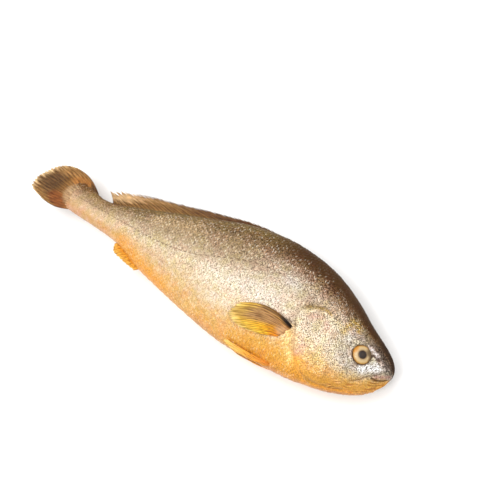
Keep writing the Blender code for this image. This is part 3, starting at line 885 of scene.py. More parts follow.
def tube(pieces, fin, u, v, radius, face):
    """A tapering round ray along places (u, v), on one face of the fin or in its middle."""
    normal = fin_normal(fin["surface"], u, v)
    centre = fin["surface"](u, v) + normal * (face * fin_half(fin, u, v))[:, None]
    beside = unit(np.cross(normal, np.gradient(centre, axis=0)))
    turn = np.linspace(0.0, 2 * math.pi, RAY_SIDES, endpoint=False)
    turn = turn[None, :, None]
    ring = np.cos(turn) * beside[:, None] + np.sin(turn) * normal[:, None]
    points = centre[:, None] + ring * radius[:, None, None]
    cap = np.array(((0, 3, 2, 1), (0, 5, 4, 3)))
    end = cap[:, ::-1] + (len(u) - 1) * RAY_SIDES
    faces = np.concatenate((grid_faces(len(u), RAY_SIDES, wrap=True)[:, ::-1], end[:, ::-1], cap[:, ::-1]))
    pieces.add(on_floor(points), faces, fin_u=u[:, None], fin_v=v[:, None], ray=1.0)


def soft_ray(pieces, fin, u, random):
    """A ray that splits into two and then four branches towards its tip."""
    tip = 1.0 + random.uniform(-0.08, 0.04)
    spacing = 1.0 / (fin["rays"] - 1)
    for start, end, side, inner in BRANCHES:
        last = end * tip * random.uniform(0.94, 1.03) if side else end
        v = np.linspace(start, min(last, 1.04), 12)
        part = np.clip((v - 0.50) / 0.50, 0.0, 1.0)
        split = np.clip((v - 0.70) / 0.30, 0.0, 1.0)
        apart = 0.32 * part - inner * 0.22 * split + random.uniform(-0.05, 0.05) * split
        shift = side * spacing * apart
        thin = 1.0 - 0.55 * v if not side else 0.60 * (1.25 - v)
        joints = 1.0 + 0.08 * np.sin(v * 90.0)
        radius = fin["radius"] * np.maximum(thin, 0.16) * joints
        for face in fin["faces"]:
            tube(pieces, fin, np.clip(u + shift, 0.0, 1.0), v, radius, face)


def spine(pieces, fin, u):
    v = np.linspace(0.0, 1.02, 14)
    radius = 1.25 * fin["radius"] * np.maximum(1.05 - v, 0.08)
    for face in fin["faces"]:
        tube(pieces, fin, np.full(v.shape, u), v, radius, face)


def fin_piece(name, material, surface, build):
    fin = {"surface": surface, **build}
    random = np.random.default_rng(fin["seed"])
    pieces = Pieces()
    membrane(pieces, fin, random)
    for i in range(fin["rays"]):
        u = i / (fin["rays"] - 1)
        if i < fin["spines"]:
            spine(pieces, fin, u)
        else:
            soft_ray(pieces, fin, u, random)
    return present(pieces.make(name, material))


def between(start, end, v):
    return start + (end - start) * v[..., None]


def dorsal_surface(u, v):
    root = DORSAL_BASE[0] + (DORSAL_BASE[1] - DORSAL_BASE[0]) * u
    tip = root + smooth_curve(DORSAL_LEAN, root)[..., 0]
    start = in_frame(root, body_profile(root)[0] - FIN_ROOT_DEPTH, 0.0)
    height = body_profile(tip)[0] + smooth_curve(DORSAL_HEIGHT, tip)[..., 0]
    sheet = between(start, in_frame(tip, height, 0.0), v)
    sheet[..., 2] += 0.0006 * np.sin(u * 21.0) * v
    sheet[..., 0] += 0.0011 * np.sin(np.pi * np.clip(v, 0.0, 1.0)) * u ** 6
    return sheet


def anal_surface(u, v):
    root = ANAL_BASE[0] + (ANAL_BASE[1] - ANAL_BASE[0]) * u
    start = in_frame(root, body_profile(root)[1] + FIN_ROOT_DEPTH, 0.0)
    tip = smooth_curve(ANAL_TIPS, u)
    return between(start, in_frame(tip[..., 0], tip[..., 1], 0.0), v)


def caudal_surface(u, v):
    root = smooth_curve(CAUDAL_BASE, u)
    tip = smooth_curve(CAUDAL_TIPS, u)
    flat = between(in_frame(root[..., 0], root[..., 1], 0.0), in_frame(tip[..., 0], tip[..., 1], 0.0), v)
    round_out = np.sin(np.pi * np.clip(v, 0.0, 1.0))
    upper = CAUDAL_UPPER_BULGE * (1.0 - smooth_step(0.0, 0.45, u))
    lower = CAUDAL_LOWER_BULGE * smooth_step(0.6, 1.0, u)
    flat[..., 1] += round_out * (upper - lower)
    flat[..., 2] += 0.0010 * np.sin(u * 7.0 + 0.6) * np.maximum(v, 0.0) ** 1.5
    return flat


def laid_on_skin(behind, angle, lift, side):
    points = section_point(behind, angle) + skin_normal(behind, angle) * lift[..., None]
    return points if side > 0 else mirrored(points)


def pectoral_surface(side):
    def surface(u, v):
        root = smooth_curve(PECTORAL_BASE, u)
        tip = smooth_curve(PECTORAL_TIPS, u)
        place = between(root, tip, v)
        behind = place[..., 0]
        height = place[..., 1] + PECTORAL_ARCH * (1.0 - u) * np.sin(np.pi * np.clip(v, 0.0, 1.0))
        angle = section_angle(behind, height)
        rooted = -0.0010 + 0.0016 * smooth_step(0.0, 0.07, v)
        settled = 1.0 - 0.65 * smooth_step(0.65, 1.0, v)
        lift = rooted + PECTORAL_STAND_OFF * smooth_step(0.05, 0.6, v) * (1.0 - 0.5 * u) * settled
        return laid_on_skin(behind, angle, lift, side)

    return surface


def pelvic_surface(side):
    def surface(u, v):
        root = smooth_curve(PELVIC_BASE, u)
        tip = smooth_curve(PELVIC_TIPS, u)
        place = between(root, tip, v)
        angle = np.radians(place[..., 1])
        lift = -0.0008 + 0.0014 * smooth_step(0.0, 0.1, v) + PELVIC_STAND_OFF * smooth_step(0.05, 0.5, v)
        return laid_on_skin(place[..., 0], angle, lift, side)

    return surface


# Eyes

def eye_piece(name, side, material):
    """A domed eyeball with a shallow groove round the pupil."""
    centre, normal = eye_centre()
    turn = Vector((0.0, 0.0, 1.0)).rotation_difference(Vector(normal)).to_matrix()
    share = np.linspace(0.0, 1.0, EYE_RINGS)
    spin = np.linspace(0.0, 2 * math.pi, EYE_SPOKES, endpoint=False)
    radius = EYEBALL_RADIUS * share * EYEBALL_EDGE
    rise = EYEBALL_DEPTH * np.sqrt(1.0 - (share * EYEBALL_EDGE) ** 2) - EYEBALL_SINK
    rise = rise - PUPIL_GROOVE * np.exp(-(((share - PUPIL_SHARE) / PUPIL_GROOVE_HALF) ** 2))
    x = radius[:, None] * np.cos(spin)
    y = radius[:, None] * np.sin(spin)
    local = np.stack((x, y, np.broadcast_to(rise[:, None], x.shape)), axis=-1)
    points = local @ np.array(turn).T + centre
    if side < 0:
        points = mirrored(points)
    faces = grid_faces(len(share), len(spin), wrap=True)
    if side < 0:
        faces = faces[:, ::-1]
    pieces = Pieces()
    share = share[:, None]
    pieces.add(points, faces, eye_r=share, eye_x=share * np.cos(spin), eye_y=share * np.sin(spin))
    return present(pieces.make(name, material))


# Materials

# Noises over the body: size, detail, roughness
NOISES = {
    "band": (0.014, 3.0, 0.5),
    "ragged band": (0.0016, 3.0, 0.7),
    "hue": (0.0060, 1.0, 0.5),
    "lump": (0.0042, 3.0, 0.6),
    "cloud": (0.009, 2.0, 0.5),
    "stain": (0.0030, 2.0, 0.5),
    "patch": (0.0014, 2.0, 0.5),
    "silver": (0.0011, 3.0, 0.7),
    "socket_shade": (0.0016, 2.0, 0.5),
    "fleck": (0.00062, 1.0, 0.5),
    "fibre": (0.0007, 2.0, 0.6),
    "skin": (0.0009, 3.0, 0.6),
    "scale": (0.0007, 2.0, 0.5),
}
FLECK_STRETCH = (1.30, 0.85, 0.85)
STREAKS_ACROSS = 34.0
STREAKS_ALONG = 5.0
# How far noise moves the colours round the body, along a fin and across the iris
BAND_SWAY = 0.10
RAGGED_SWAY = 0.20
STREAK_SWAY = 0.30
IRIS_SWAY = 0.07
# Bumps: strength, distance
SKIN_BUMP = (0.5, 0.0003)
SCALE_BUMP = (0.4, 0.0002)
FIN_BUMP = (0.25, 0.0001)

# Smooth steps: start and end, and what they lead from and to if that isn't 0 and 1
STEPS = {
    "shoulder": (0.10, 0.165),
    "trunk": (0.30, 0.46),
    "tail": (0.70, 0.91),
    "tail_end_shade": (0.89, 0.97, 0.0, 0.5),
    "tail root": (0.90, 0.96),
    "tail back": (0.55, 0.86),
    "head": (0.22, 0.16),
    "underside": (0.44, 0.16),
    "cream": (0.50, 0.60, 0.0, 0.80),
    "ochre": (0.48, 0.38, 0.0, 0.80),
    "cloud": (0.52, 0.72, 0.0, 0.45),
    "stain": (0.50, 0.64, 0.0, 0.70),
    "patch": (0.30, 0.56, 0.45, 1.0),
    "silver": (0.38, 0.52),
    "belly flecks": (0.05, 0.50, 0.55, 1.0),
    "crown flecks": (0.84, 0.92, 1.0, 0.10),
    "back flecks": (0.90, 1.00, 1.0, 0.35),
    "head flecks": (0.20, 0.26, 1.40, 1.0),
    "tail flecks": (0.72, 0.92, 1.0, 0.50),
    # Bright flecks are painted glints
    "glint fleck": (0.50, 0.60),
    "dark fleck": (0.48, 0.40, 0.0, 0.85),
    "head height": (0.22, 0.16, 0.0, 0.10),
    "bright height": (0.60, 0.80),
    "dark height": (0.15, 0.45),
    "roughness": (0.0, 1.0, 0.50, 0.26),
    "metal": (0.55, 0.85, 0.12, 0.0),
    "gloss": (0.60, 0.88, 0.40, 0.02),
    "coat": (0.60, 0.85, 0.16, 0.0),
    # Painted shade in the jaw's fold grooves and painted highlight on their crests
    "groove_shade": (-0.05, -0.45, 0.0, 0.85),
    "crest_highlight": (0.10, 0.55, 0.0, 0.75),
    "socket_shade": (0.34, 0.60, 0.35, 1.0),
    "pocket": (0.90, 0.50, 0.0, 0.60),
    "rear rim": (0.84, 0.97),
    "glint_dash width": (0.58, 0.16),
    "glint_dash tone": (-0.7, 0.8, 0.05, 1.0),
    "dark streak": (0.50, 0.36, 0.0, 0.75),
    "light streak": (0.52, 0.66, 0.0, 0.75),
    "fibre": (0.50, 0.66, 0.0, 0.50),
    "spot": (0.1, 1.0, 1.0, 0.0),
}
# Changes of a colour: factors on red, green and blue
TONES = {
    # Painted shade on the end of the tail
    "tail_end_shade": (0.82, 0.75, 0.70),
    "cream": (1.05, 1.12, 1.36),
    "ochre": (0.96, 0.93, 0.66),
    "cloud": (0.78, 0.74, 0.76),
    "stain": (0.86, 0.80, 0.64),
    # Painted glints, low and high on the body, then the dark flecks
    "low bright": (1.46, 1.50, 1.60),
    "high bright": (2.45, 2.50, 2.75),
    "low dark": (0.60, 0.48, 0.32),
    "high dark": (0.30, 0.27, 0.24),
    # Painted shade in the jaw's fold grooves and painted highlight on their crests
    "groove_shade": (0.72, 0.54, 0.38),
    "crest_highlight": (1.25, 1.36, 1.65),
    "pocket": (0.66, 0.62, 0.58),
    # Painted glint on each scale's rear rim
    "glint_dash": (2.2, 2.2, 2.3),
    "ray": (0.84, 0.80, 0.76),
    "dark streak": (0.52, 0.45, 0.40),
    "light streak": (1.45, 1.45, 1.50),
    "fibre": (0.74, 0.68, 0.60),
}

# Colours from the belly (0) over the flank (0.5) to the back (1)
HEAD_COLOURS = (
    (0.00, (182, 120, 42)), (0.05, (198, 138, 54)), (0.13, (196, 145, 74)), (0.22, (190, 156, 102)),
    (0.36, (174, 160, 142)), (0.52, (175, 162, 143)), (0.62, (186, 174, 158)),
    (0.72, (144, 130, 118)), (0.82, (116, 100, 82)), (0.87, (88, 65, 42)), (0.91, (70, 46, 26)),
    (1.00, (66, 44, 24)),
)
SHOULDER_COLOURS = (
    (0.00, (194, 126, 36)), (0.05, (212, 146, 46)), (0.14, (212, 156, 68)), (0.24, (206, 172, 119)),
    (0.40, (203, 184, 156)), (0.55, (196, 176, 146)), (0.68, (176, 156, 130)),
    (0.74, (150, 129, 106)), (0.78, (118, 93, 69)), (0.86, (78, 54, 34)), (0.93, (72, 48, 27)),
    (1.00, (78, 53, 25)),
)
TRUNK_COLOURS = (
    (0.00, (198, 138, 62)), (0.05, (216, 162, 86)), (0.12, (212, 170, 112)),
    (0.24, (204, 176, 134)), (0.40, (208, 187, 153)), (0.52, (188, 165, 133)),
    (0.64, (158, 134, 101)), (0.74, (126, 103, 73)), (0.84, (102, 81, 54)), (0.92, (108, 87, 52)),
    (1.00, (100, 76, 40)),
)
TAIL_COLOURS = (
    (0.00, (202, 160, 122)), (0.14, (200, 154, 106)), (0.30, (208, 174, 136)),
    (0.50, (192, 162, 126)), (0.66, (156, 128, 92)), (0.80, (140, 115, 78)), (0.90, (130, 103, 68)),
    (1.00, (104, 74, 46)),
)
BODY_COLOURS = {"shoulder": SHOULDER_COLOURS, "trunk": TRUNK_COLOURS, "tail": TAIL_COLOURS}
# Colour and strength of each mark; those on the ridge before the eye, on the flank and behind the gill
# cover's lower edge are painted highlights, and the dark mark is partly painted shade
MARK_COLOURS = {
    "straw": ((228, 180, 92), 0.72),
    "gold": ((184, 132, 40), 0.80),
    "grey": ((60, 48, 38), 0.92),
    "tan": ((176, 148, 106), 0.50),
    "pink": ((190, 144, 124), 0.70),
    "pale": ((236, 214, 202), 1.00),
    "olive": ((142, 112, 42), 0.92),
    "rust": ((222, 146, 34), 0.82),
    "dark": ((50, 36, 26), 0.95),
    "line": ((104, 78, 50), 0.74),
    "sheen": ((232, 226, 220), 0.32),
    "cream": ((250, 216, 140), 0.70),
    "lip": ((156, 112, 96), 0.85),
}
HUES = ((0.34, (238, 238, 196)), (0.50, (255, 255, 255)), (0.66, (250, 230, 228)))
HUE_SHARE = 0.55
TAIL_BACK_COLOUR = (94, 62, 35)
TAIL_BACK_SHARE = 0.72
SILVER_LIGHT = (232, 228, 222)
SILVER_DARK = (112, 102, 94)
# Painted shade in fine creases and nostrils
CREASE_SHADE_COLOUR = (70, 42, 22)
CREASE_SHADE_SHARE = 0.80
# Painted shade on the eye socket's wall
SOCKET_SHADE_COLOUR = (80, 55, 28)
# Painted glint on the scales' rims
GLINT_DASH_COLOUR = (250, 242, 222)
JAW_CALM = 0.40
# The pupil's lighter centre is a painted soft reflection
EYE_COLOURS = (
    (0.00, (56, 42, 34)), (0.32, (36, 26, 20)), (0.40, (76, 54, 36)), (0.46, (160, 132, 92)),
    (0.60, (194, 168, 126)), (0.76, (198, 166, 112)), (0.88, (176, 128, 60)), (0.95, (84, 56, 28)),
    (1.00, (56, 38, 22)),
)
# Spots of colour on the iris: centre and reach over it, strength, colour
EYE_SPOTS = (
    ((-0.84, 0.14, 0.34, 0.56), 0.70, (196, 128, 36)),
    ((0.70, 0.60, 0.74, 0.62), 0.95, (96, 76, 50)), ((0.92, 0.05, 0.30, 0.60), 0.75, (104, 82, 58)),
)
# Fins: colours from root to tip of the rays and of the skin between them, and spots of colour:
# centre and reach over the fin, strength, colour
PLAIN_SPOTS = (((0.2, 0.1, 0.5, 0.4), 0.4, (216, 118, 30)),)
FIN_COLOURS = {
    "Tail fin": (
        ((0.0, (158, 112, 62)), (0.45, (108, 76, 38)), (0.8, (112, 80, 42)), (1.0, (120, 90, 52))),
        ((0.0, (156, 110, 58)), (0.4, (128, 90, 46)), (0.8, (150, 110, 60)), (1.0, (206, 176, 128))),
        (
            ((0.56, 0.66, 0.36, 0.34), 0.80, (78, 54, 32)),
            ((0.16, 0.66, 0.24, 0.40), 0.40, (158, 116, 66)),
            ((0.86, 0.34, 0.24, 0.28), 0.70, (130, 66, 28)),
            ((0.16, 0.32, 0.20, 0.24), 0.40, (186, 118, 52)),
            ((0.48, 0.02, 0.58, 0.25), 0.95, (186, 154, 116)),
            ((0.00, 0.06, 0.12, 0.34), 0.90, (76, 50, 30)),
        ),
    ),
    "Back fin": (
        ((0.0, (88, 58, 32)), (0.6, (84, 54, 30)), (1.0, (64, 38, 22))),
        ((0.0, (120, 86, 42)), (0.6, (138, 100, 54)), (1.0, (178, 140, 94))),
        (
            ((0.45, 0.06, 0.70, 0.34), 0.70, (158, 128, 74)),
            ((0.05, 0.80, 0.62, 0.70), 0.80, (82, 52, 30)),
            ((0.40, 1.02, 0.70, 0.22), 0.65, (78, 48, 28)),
            ((0.92, 0.80, 0.26, 0.44), 0.60, (208, 172, 126)),
        ),
    ),
    "Anal fin": (
        ((0.0, (194, 114, 24)), (0.5, (202, 130, 28)), (1.0, (196, 142, 54))),
        ((0.0, (204, 116, 20)), (0.5, (208, 140, 34)), (1.0, (212, 164, 76))),
        PLAIN_SPOTS,
    ),
    "Pelvic fin": (
        ((0.0, (226, 144, 46)), (0.5, (244, 172, 62)), (1.0, (244, 190, 98))),
        ((0.0, (234, 148, 42)), (0.5, (248, 178, 66)), (1.0, (248, 206, 120))),
        PLAIN_SPOTS,
    ),
    "Pectoral fin": (
        ((0.0, (190, 120, 34)), (0.4, (208, 146, 28)), (0.8, (186, 146, 56)), (1.0, (204, 170, 100))),
        ((0.0, (222, 142, 26)), (0.4, (240, 182, 28)), (0.8, (218, 174, 66)), (1.0, (226, 194, 124))),
        (
            ((0.26, 0.46, 0.36, 0.52), 0.88, (150, 112, 76)),
            ((0.02, 0.34, 0.09, 0.42), 0.75, (84, 58, 30)),
            # Painted shade in the axil at the fin's upper root
            ((0.00, 0.05, 0.22, 0.25), 1.00, (30, 18, 10)),
            ((0.12, 0.80, 0.30, 0.24), 0.45, (186, 150, 62)),
            ((0.98, 0.16, 0.30, 0.26), 0.55, (228, 136, 30)),
            ((0.52, 0.03, 0.42, 0.18), 0.80, (212, 172, 128)),
        ),
    ),
}


def srgb(red, green, blue):
    parts = []
    for value in (red, green, blue):
        c = value / 255
        parts.append(c / 12.92 if c <= 0.04045 else ((c + 0.055) / 1.055) ** 2.4)
    return (*parts, 1.0)


class Shade:
    """A material's node tree, with short calls for the nodes that the fish needs."""

    def __init__(self, name):
        self.material = bpy.data.materials.new(name)
        self.material.use_nodes = True
        self.tree = self.material.node_tree
        self.shader = self.tree.nodes["Principled BSDF"]
        self.place = self.node("ShaderNodeTexCoord").outputs["Object"]

    def node(self, kind, **settings):
        made = self.tree.nodes.new(kind)
        for key, value in settings.items():
            setattr(made, key, value)
        return made

    def join(self, source, target):
        if hasattr(source, "is_output"):
            self.tree.links.new(source, target)
        else:
            target.default_value = source

    def value(self, name):
        return self.node("ShaderNodeAttribute", attribute_name=name).outputs["Fac"]

    def noise(self, name, stretch=None):
        size, detail, rough = NOISES[name]
        made = self.node("ShaderNodeTexNoise")
        made.inputs["Scale"].default_value = 1.0 / size
        made.inputs["Detail"].default_value = detail
        made.inputs["Roughness"].default_value = rough
        place = self.place
        if stretch:
            mapping = self.node("ShaderNodeMapping")
            mapping.inputs["Scale"].default_value = stretch
            self.join(place, mapping.inputs["Vector"])
            place = mapping.outputs["Vector"]
        self.join(place, made.inputs["Vector"])
        return made.outputs["Fac"]

    def streaks(self, u, v):
        """Noise drawn out along a fin's rays."""
        place = self.node("ShaderNodeCombineXYZ")
        self.join(self.times(u, STREAKS_ACROSS), place.inputs["X"])
        self.join(self.times(v, STREAKS_ALONG), place.inputs["Y"])
        made = self.node("ShaderNodeTexNoise")
        made.inputs["Scale"].default_value = 1.0
        self.join(place.outputs["Vector"], made.inputs["Vector"])
        return made.outputs["Fac"]

    def math(self, operation, a, b, clamp=False):
        made = self.node("ShaderNodeMath", operation=operation, use_clamp=clamp)
        self.join(a, made.inputs[0])
        self.join(b, made.inputs[1])
        return made.outputs[0]

    def times(self, a, b, clamp=False):
        return self.math("MULTIPLY", a, b, clamp)

    def plus(self, a, b):
        return self.math("ADD", a, b)

    def minus(self, a, b):
        return self.math("SUBTRACT", a, b)

    def sway(self, value, noise, amount):
        """A value moved up and down by noise."""
        return self.plus(value, self.times(self.minus(noise, 0.5), amount))

    def step(self, value, name):
        made = self.node("ShaderNodeMapRange", interpolation_type="SMOOTHSTEP")
        self.join(value, made.inputs["Value"])
        for key, limit in zip(("From Min", "From Max", "To Min", "To Max"), STEPS[name]):
            made.inputs[key].default_value = limit
        return made.outputs["Result"]

    def ramp(self, value, stops):
        made = self.node("ShaderNodeValToRGB")
        elements = made.color_ramp.elements
        elements[0].position, elements[0].color = stops[0][0], srgb(*stops[0][1])
        elements[1].position, elements[1].color = stops[-1][0], srgb(*stops[-1][1])
        for position, colour in stops[1:-1]:
            elements.new(position).color = srgb(*colour)
        self.join(value, made.inputs["Fac"])
        return made.outputs["Color"]

    def mix(self, share, a, b, **settings):
        made = self.node("ShaderNodeMix", data_type="RGBA", **settings)
        self.join(share, made.inputs["Factor"])
        self.join(a, made.inputs[6])
        self.join(b, made.inputs[7])
        return made.outputs[2]

    def gain(self, colour, tone):
        """A colour made lighter or darker."""
        return self.mix(1.0, colour, (*TONES[tone], 1.0), blend_type="MULTIPLY", clamp_result=True)

    def toned(self, share, colour, tone):
        return self.mix(share, colour, self.gain(colour, tone))

    def tinted(self, share, colour, tint):
        return self.mix(share, colour, srgb(*tint))

    def spots(self, colour, x, y, spots):
        """Soft round spots of colour over two values that run across the surface."""
        for (centre_x, centre_y, reach_x, reach_y), strength, tint in spots:
            across = self.math("DIVIDE", self.minus(x, centre_x), reach_x)
            along = self.math("DIVIDE", self.minus(y, centre_y), reach_y)
            gap = self.plus(self.times(across, across), self.times(along, along))
            colour = self.tinted(self.times(self.step(gap, "spot"), strength), colour, tint)
        return colour

    def bump(self, height, strength, distance):
        made = self.node("ShaderNodeBump")
        made.inputs["Strength"].default_value = strength
        made.inputs["Distance"].default_value = distance
        self.join(height, made.inputs["Height"])
        self.join(made.outputs["Normal"], self.shader.inputs["Normal"])

    def finish(self, **inputs):
        for key, value in inputs.items():
            self.join(value, self.shader.inputs[key.replace("_", " ")])
        return self.material


def layered(shade, behind):
    """Colours from belly to back, which change along the body, with painted shade darkening the end of the
    tail.
    """
    girth = shade.sway(shade.value("girth"), shade.noise("band"), BAND_SWAY)
    girth = shade.sway(girth, shade.noise("ragged band"), RAGGED_SWAY)
    colour = shade.ramp(girth, HEAD_COLOURS)
    for name, stops in BODY_COLOURS.items():
        colour = shade.mix(shade.step(behind, name), colour, shade.ramp(girth, stops))
    # Painted shade darkening the end of the tail
    colour = shade.toned(shade.step(behind, "tail_end_shade"), colour, "tail_end_shade")
    tail_back = shade.times(shade.step(behind, "tail root"), shade.step(girth, "tail back"))
    return shade.tinted(shade.times(tail_back, TAIL_BACK_SHARE), colour, TAIL_BACK_COLOUR)


def mottled(shade, colour, behind):
    """Uneven hues, cream and ochre lumps on the belly, dim clouds, and stains on the head."""
    hues = shade.mix(1.0, colour, shade.ramp(shade.noise("hue"), HUES), blend_type="MULTIPLY")
    colour = shade.mix(HUE_SHARE, colour, hues)
    lumps = shade.noise("lump")
    underside = shade.step(shade.value("girth"), "underside")
    for name in ("cream", "ochre"):
        colour = shade.toned(shade.times(underside, shade.step(lumps, name)), colour, name)
    colour = shade.toned(shade.step(shade.noise("cloud"), "cloud"), colour, "cloud")
    stains = shade.times(shade.step(shade.noise("stain"), "stain"), shade.step(behind, "head"))
    return shade.toned(stains, colour, "stain")


def marked(shade, colour):
    """Silver skin below the eye, and the coloured marks with their patchy cover."""
    glints = shade.step(shade.noise("silver"), "silver")
    silver = shade.mix(glints, srgb(*SILVER_DARK), srgb(*SILVER_LIGHT))
    colour = shade.mix(shade.value("silver"), colour, silver)
    patchy = shade.step(shade.noise("patch"), "patch")
    for name, (tint, strength) in MARK_COLOURS.items():
        share = shade.times(shade.times(shade.value(name), strength), patchy)
        colour = shade.tinted(share, colour, tint)
    return colour


def body_colour(shade):
    behind = shade.value("behind")
    return marked(shade, mottled(shade, layered(shade, behind), behind))


def fleck_strength(shade):
    """Flecks are strongest on the upper flank and head, weakest on the belly, crown and jaw."""
    girth = shade.value("girth")
    behind = shade.value("behind")
    crown = shade.step(girth, "crown flecks")
    back = shade.step(girth, "back flecks")
    high = shade.mix(shade.step(behind, "trunk"), crown, back)
    jaw = shade.times(shade.value("gold"), JAW_CALM)
    plain = shade.minus(shade.step(behind, "tail flecks"), jaw)
    around = shade.times(shade.step(girth, "belly flecks"), high)
    return shade.times(around, shade.times(shade.step(behind, "head flecks"), plain))


def toned_by_height(shade, colour, height, kind):
    """One change of a colour low on the body, and another high on it."""
    low = shade.gain(colour, "low " + kind)
    return shade.mix(shade.step(height, kind + " height"), low, shade.gain(colour, "high " + kind))


def flecked(shade, colour, strength):
    """Fine bright and dark dashes, longer across the body than along it; the bright ones are painted
    glints.
    """
    fine = shade.noise("fleck", FLECK_STRETCH)
    bright = shade.times(shade.step(fine, "glint fleck"), strength, True)
    dark = shade.times(shade.step(fine, "dark fleck"), strength, True)
    height = shade.plus(shade.value("girth"), shade.step(shade.value("behind"), "head height"))
    lighter = toned_by_height(shade, colour, height, "bright")
    darker = toned_by_height(shade, colour, height, "dark")
    return shade.mix(dark, shade.mix(bright, colour, lighter), darker), bright


def wet(shade, colour, bright):
    """A wet skin whose gloss falls off towards the dark back."""
    girth = shade.value("girth")
    return shade.finish(
        Base_Color=colour,
        Roughness=shade.step(bright, "roughness"),
        Metallic=shade.step(girth, "metal"),
        Specular_IOR_Level=shade.step(girth, "gloss"),
        Coat_Weight=shade.step(girth, "coat"),
        Coat_Roughness=0.10,
    )


def skin_material():
    shade = Shade("Croaker skin")
    colour, bright = flecked(shade, body_colour(shade), fleck_strength(shade))
    # Painted shade in fine creases and nostrils
    colour = shade.tinted(shade.times(shade.value("crease_shade"), CREASE_SHADE_SHARE), colour, CREASE_SHADE_COLOUR)
    # Painted shade in the jaw's fold grooves and painted highlight on their crests
    fold = shade.value("fold")
    for name in ("groove_shade", "crest_highlight"):
        colour = shade.toned(shade.step(fold, name), colour, name)
    # Painted shade on the eye socket's wall
    broken = shade.step(shade.noise("socket_shade"), "socket_shade")
    colour = shade.tinted(shade.times(shade.value("socket_shade"), broken), colour, SOCKET_SHADE_COLOUR)
    shade.bump(shade.noise("skin"), *SKIN_BUMP)
    return wet(shade, colour, bright)


def scale_material():
    """A bright dash on each scale's rear rim, a painted glint that is brighter on some, and a darker pocket
    ahead of it.
    """
    shade = Shade("Croaker scales")
    strength = fleck_strength(shade)
    colour, bright = flecked(shade, body_colour(shade), strength)
    edge = shade.value("edge")
    colour = shade.toned(shade.times(shade.step(edge, "pocket"), strength, True), colour, "pocket")
    glint_dash = shade.times(shade.step(edge, "rear rim"), shade.step(shade.value("beside"), "glint_dash width"))
    glint_dash = shade.times(glint_dash, shade.step(shade.value("tone"), "glint_dash tone"))
    glint_dash = shade.times(glint_dash, strength, True)
    colour = shade.mix(glint_dash, colour, shade.tinted(0.5, shade.gain(colour, "glint_dash"), GLINT_DASH_COLOUR))
    shade.bump(shade.noise("scale"), *SCALE_BUMP)
    return wet(shade, colour, shade.math("MAXIMUM", bright, glint_dash))


def fin_material(name, ray_stops, skin_stops, spots):
    """Rays a shade darker than the skin between them, both streaked along the rays."""
    shade = Shade(name)
    u = shade.value("fin_u")
    v = shade.value("fin_v")
    streak = shade.streaks(u, v)
    along = shade.sway(v, streak, STREAK_SWAY)
    skin = shade.spots(shade.ramp(along, skin_stops), u, along, spots)
    rays = shade.spots(shade.ramp(along, ray_stops), u, along, spots)
    colour = shade.mix(shade.value("ray"), skin, shade.gain(rays, "ray"))
    for tone in ("dark streak", "light streak"):
        colour = shade.toned(shade.step(streak, tone), colour, tone)
    shade.bump(streak, *FIN_BUMP)
    return shade.finish(
        Base_Color=colour,
        Roughness=0.50,
        Specular_IOR_Level=0.16,
        Coat_Weight=0.05,
        Coat_Roughness=0.15,
        Subsurface_Weight=0.08,
        Subsurface_Scale=0.001,
    )


def eye_material():
    """Rings of colour round the pupil, with spots of colour at the rim, crossed by fine fibres."""
    shade = Shade("Croaker eye")
    fibre = shade.noise("fibre")
    colour = shade.ramp(shade.sway(shade.value("eye_r"), fibre, IRIS_SWAY), EYE_COLOURS)
    colour = shade.spots(colour, shade.value("eye_x"), shade.value("eye_y"), EYE_SPOTS)
    colour = shade.toned(shade.step(fibre, "fibre"), colour, "fibre")
    return shade.finish(
        Base_Color=colour,
        Roughness=0.35,
        Specular_IOR_Level=0.2,
        Coat_Weight=0.35,
        Coat_Roughness=0.04,
    )


# Stage

FLOOR_HALF = 2.5
FLOOR_COLOUR = (250, 249, 248)
# Lights: place, size, power
LIGHTS = {"key": ((-0.10, -0.10, 0.85), 0.80, 4.8), "spark": ((0.10, -0.30, 0.80), 0.10, 0.9)}
# Brightness of the surroundings by height: at the horizon and below, halfway up, overhead
SKY = ((0.0, 0.42), (0.45, 0.80), (1.0, 1.2))


def make_floor():
    corners = [(x * FLOOR_HALF, y * FLOOR_HALF, 0.0) for x, y in ((-1, -1), (1, -1), (1, 1), (-1, 1))]
    mesh = bpy.data.meshes.new("floor")
    mesh.from_pydata(corners, [], [(0, 1, 2, 3)])
    mesh.materials.append(Shade("Floor").finish(Base_Color=srgb(*FLOOR_COLOUR), Roughness=0.9))
    floor = place_object("floor", mesh)


def make_light(name, place, size, power):
    """A square light that points at the floor below the fish's middle."""
    data = bpy.data.lights.new(name, "AREA")
    data.size = size
    data.energy = power
    light = place_object(name, data)
    light.location = place
    light.rotation_euler = (-Vector(place)).to_track_quat("-Z", "Y").to_euler()


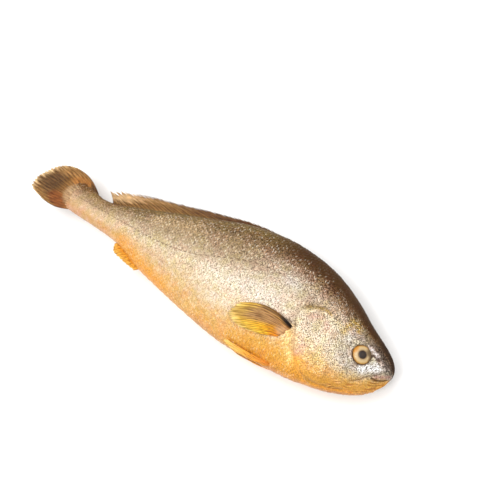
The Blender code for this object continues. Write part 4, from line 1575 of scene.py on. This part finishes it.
def make_world():
    """White overhead, grey towards the horizon and below."""
    world = bpy.data.worlds.new("Studio")
    world.use_nodes = True
    tree = world.node_tree
    place = tree.nodes.new("ShaderNodeTexCoord")
    split = tree.nodes.new("ShaderNodeSeparateXYZ")
    ramp = tree.nodes.new("ShaderNodeValToRGB")
    tree.links.new(place.outputs["Generated"], split.inputs["Vector"])
    tree.links.new(split.outputs["Z"], ramp.inputs["Fac"])
    tree.links.new(ramp.outputs["Color"], tree.nodes["Background"].inputs["Color"])
    elements = ramp.color_ramp.elements
    elements.new(SKY[1][0])
    for element, (_, grey) in zip(elements, SKY):
        element.color = (grey, grey, grey, 1.0)
    bpy.context.scene.world = world


def make_camera():
    azimuth, elevation, roll = (math.radians(a) for a in (CAMERA_AZIMUTH, CAMERA_ELEVATION, CAMERA_ROLL))
    level = math.cos(elevation)
    back = Vector((math.sin(azimuth) * level, -math.cos(azimuth) * level, math.sin(elevation)))
    beside = Vector((0.0, 0.0, 1.0)).cross(back).normalized()
    above = back.cross(beside)
    right = math.cos(roll) * beside + math.sin(roll) * above
    up = -math.sin(roll) * beside + math.cos(roll) * above
    data = bpy.data.cameras.new("Camera")
    data.lens = CAMERA_LENS
    data.sensor_width = CAMERA_SENSOR
    data.clip_start = 0.01
    camera = place_object("Camera", data)
    turn = Matrix((right, up, back)).transposed()
    place = Vector(CAMERA_TARGET) + back * CAMERA_DISTANCE + right * CAMERA_RIGHT + up * CAMERA_UP
    camera.matrix_world = Matrix.Translation(place) @ turn.to_4x4()
    bpy.context.scene.camera = camera


def make_fish():
    skin = skin_material()
    scales = scale_material()
    skin_piece(skin)
    trunk_scales_piece(scales)
    head_scales_piece(scales)
    lateral_line_piece(scales)
    eye = eye_material()
    eye_piece("eye_right", 1, eye)
    eye_piece("eye_left", -1, eye)
    paint = {name: fin_material(name, *colours) for name, colours in FIN_COLOURS.items()}
    fin_piece("tail_fin", paint["Tail fin"], caudal_surface, CAUDAL_BUILD)
    fin_piece("back_fin", paint["Back fin"], dorsal_surface, DORSAL_BUILD)
    fin_piece("anal_fin", paint["Anal fin"], anal_surface, ANAL_BUILD)
    for side, name in ((1, "right"), (-1, "left")):
        fin_piece("pectoral_fin_" + name, paint["Pectoral fin"], pectoral_surface(side), PECTORAL_BUILD)
        fin_piece("pelvic_fin_" + name, paint["Pelvic fin"], pelvic_surface(side), PELVIC_BUILD)


def make_stage():
    make_floor()
    make_world()
    for name, (place, size, power) in LIGHTS.items():
        make_light(name, place, size, power)
    bpy.context.scene.view_settings.view_transform = "Standard"


make_camera()
make_fish()
make_stage()
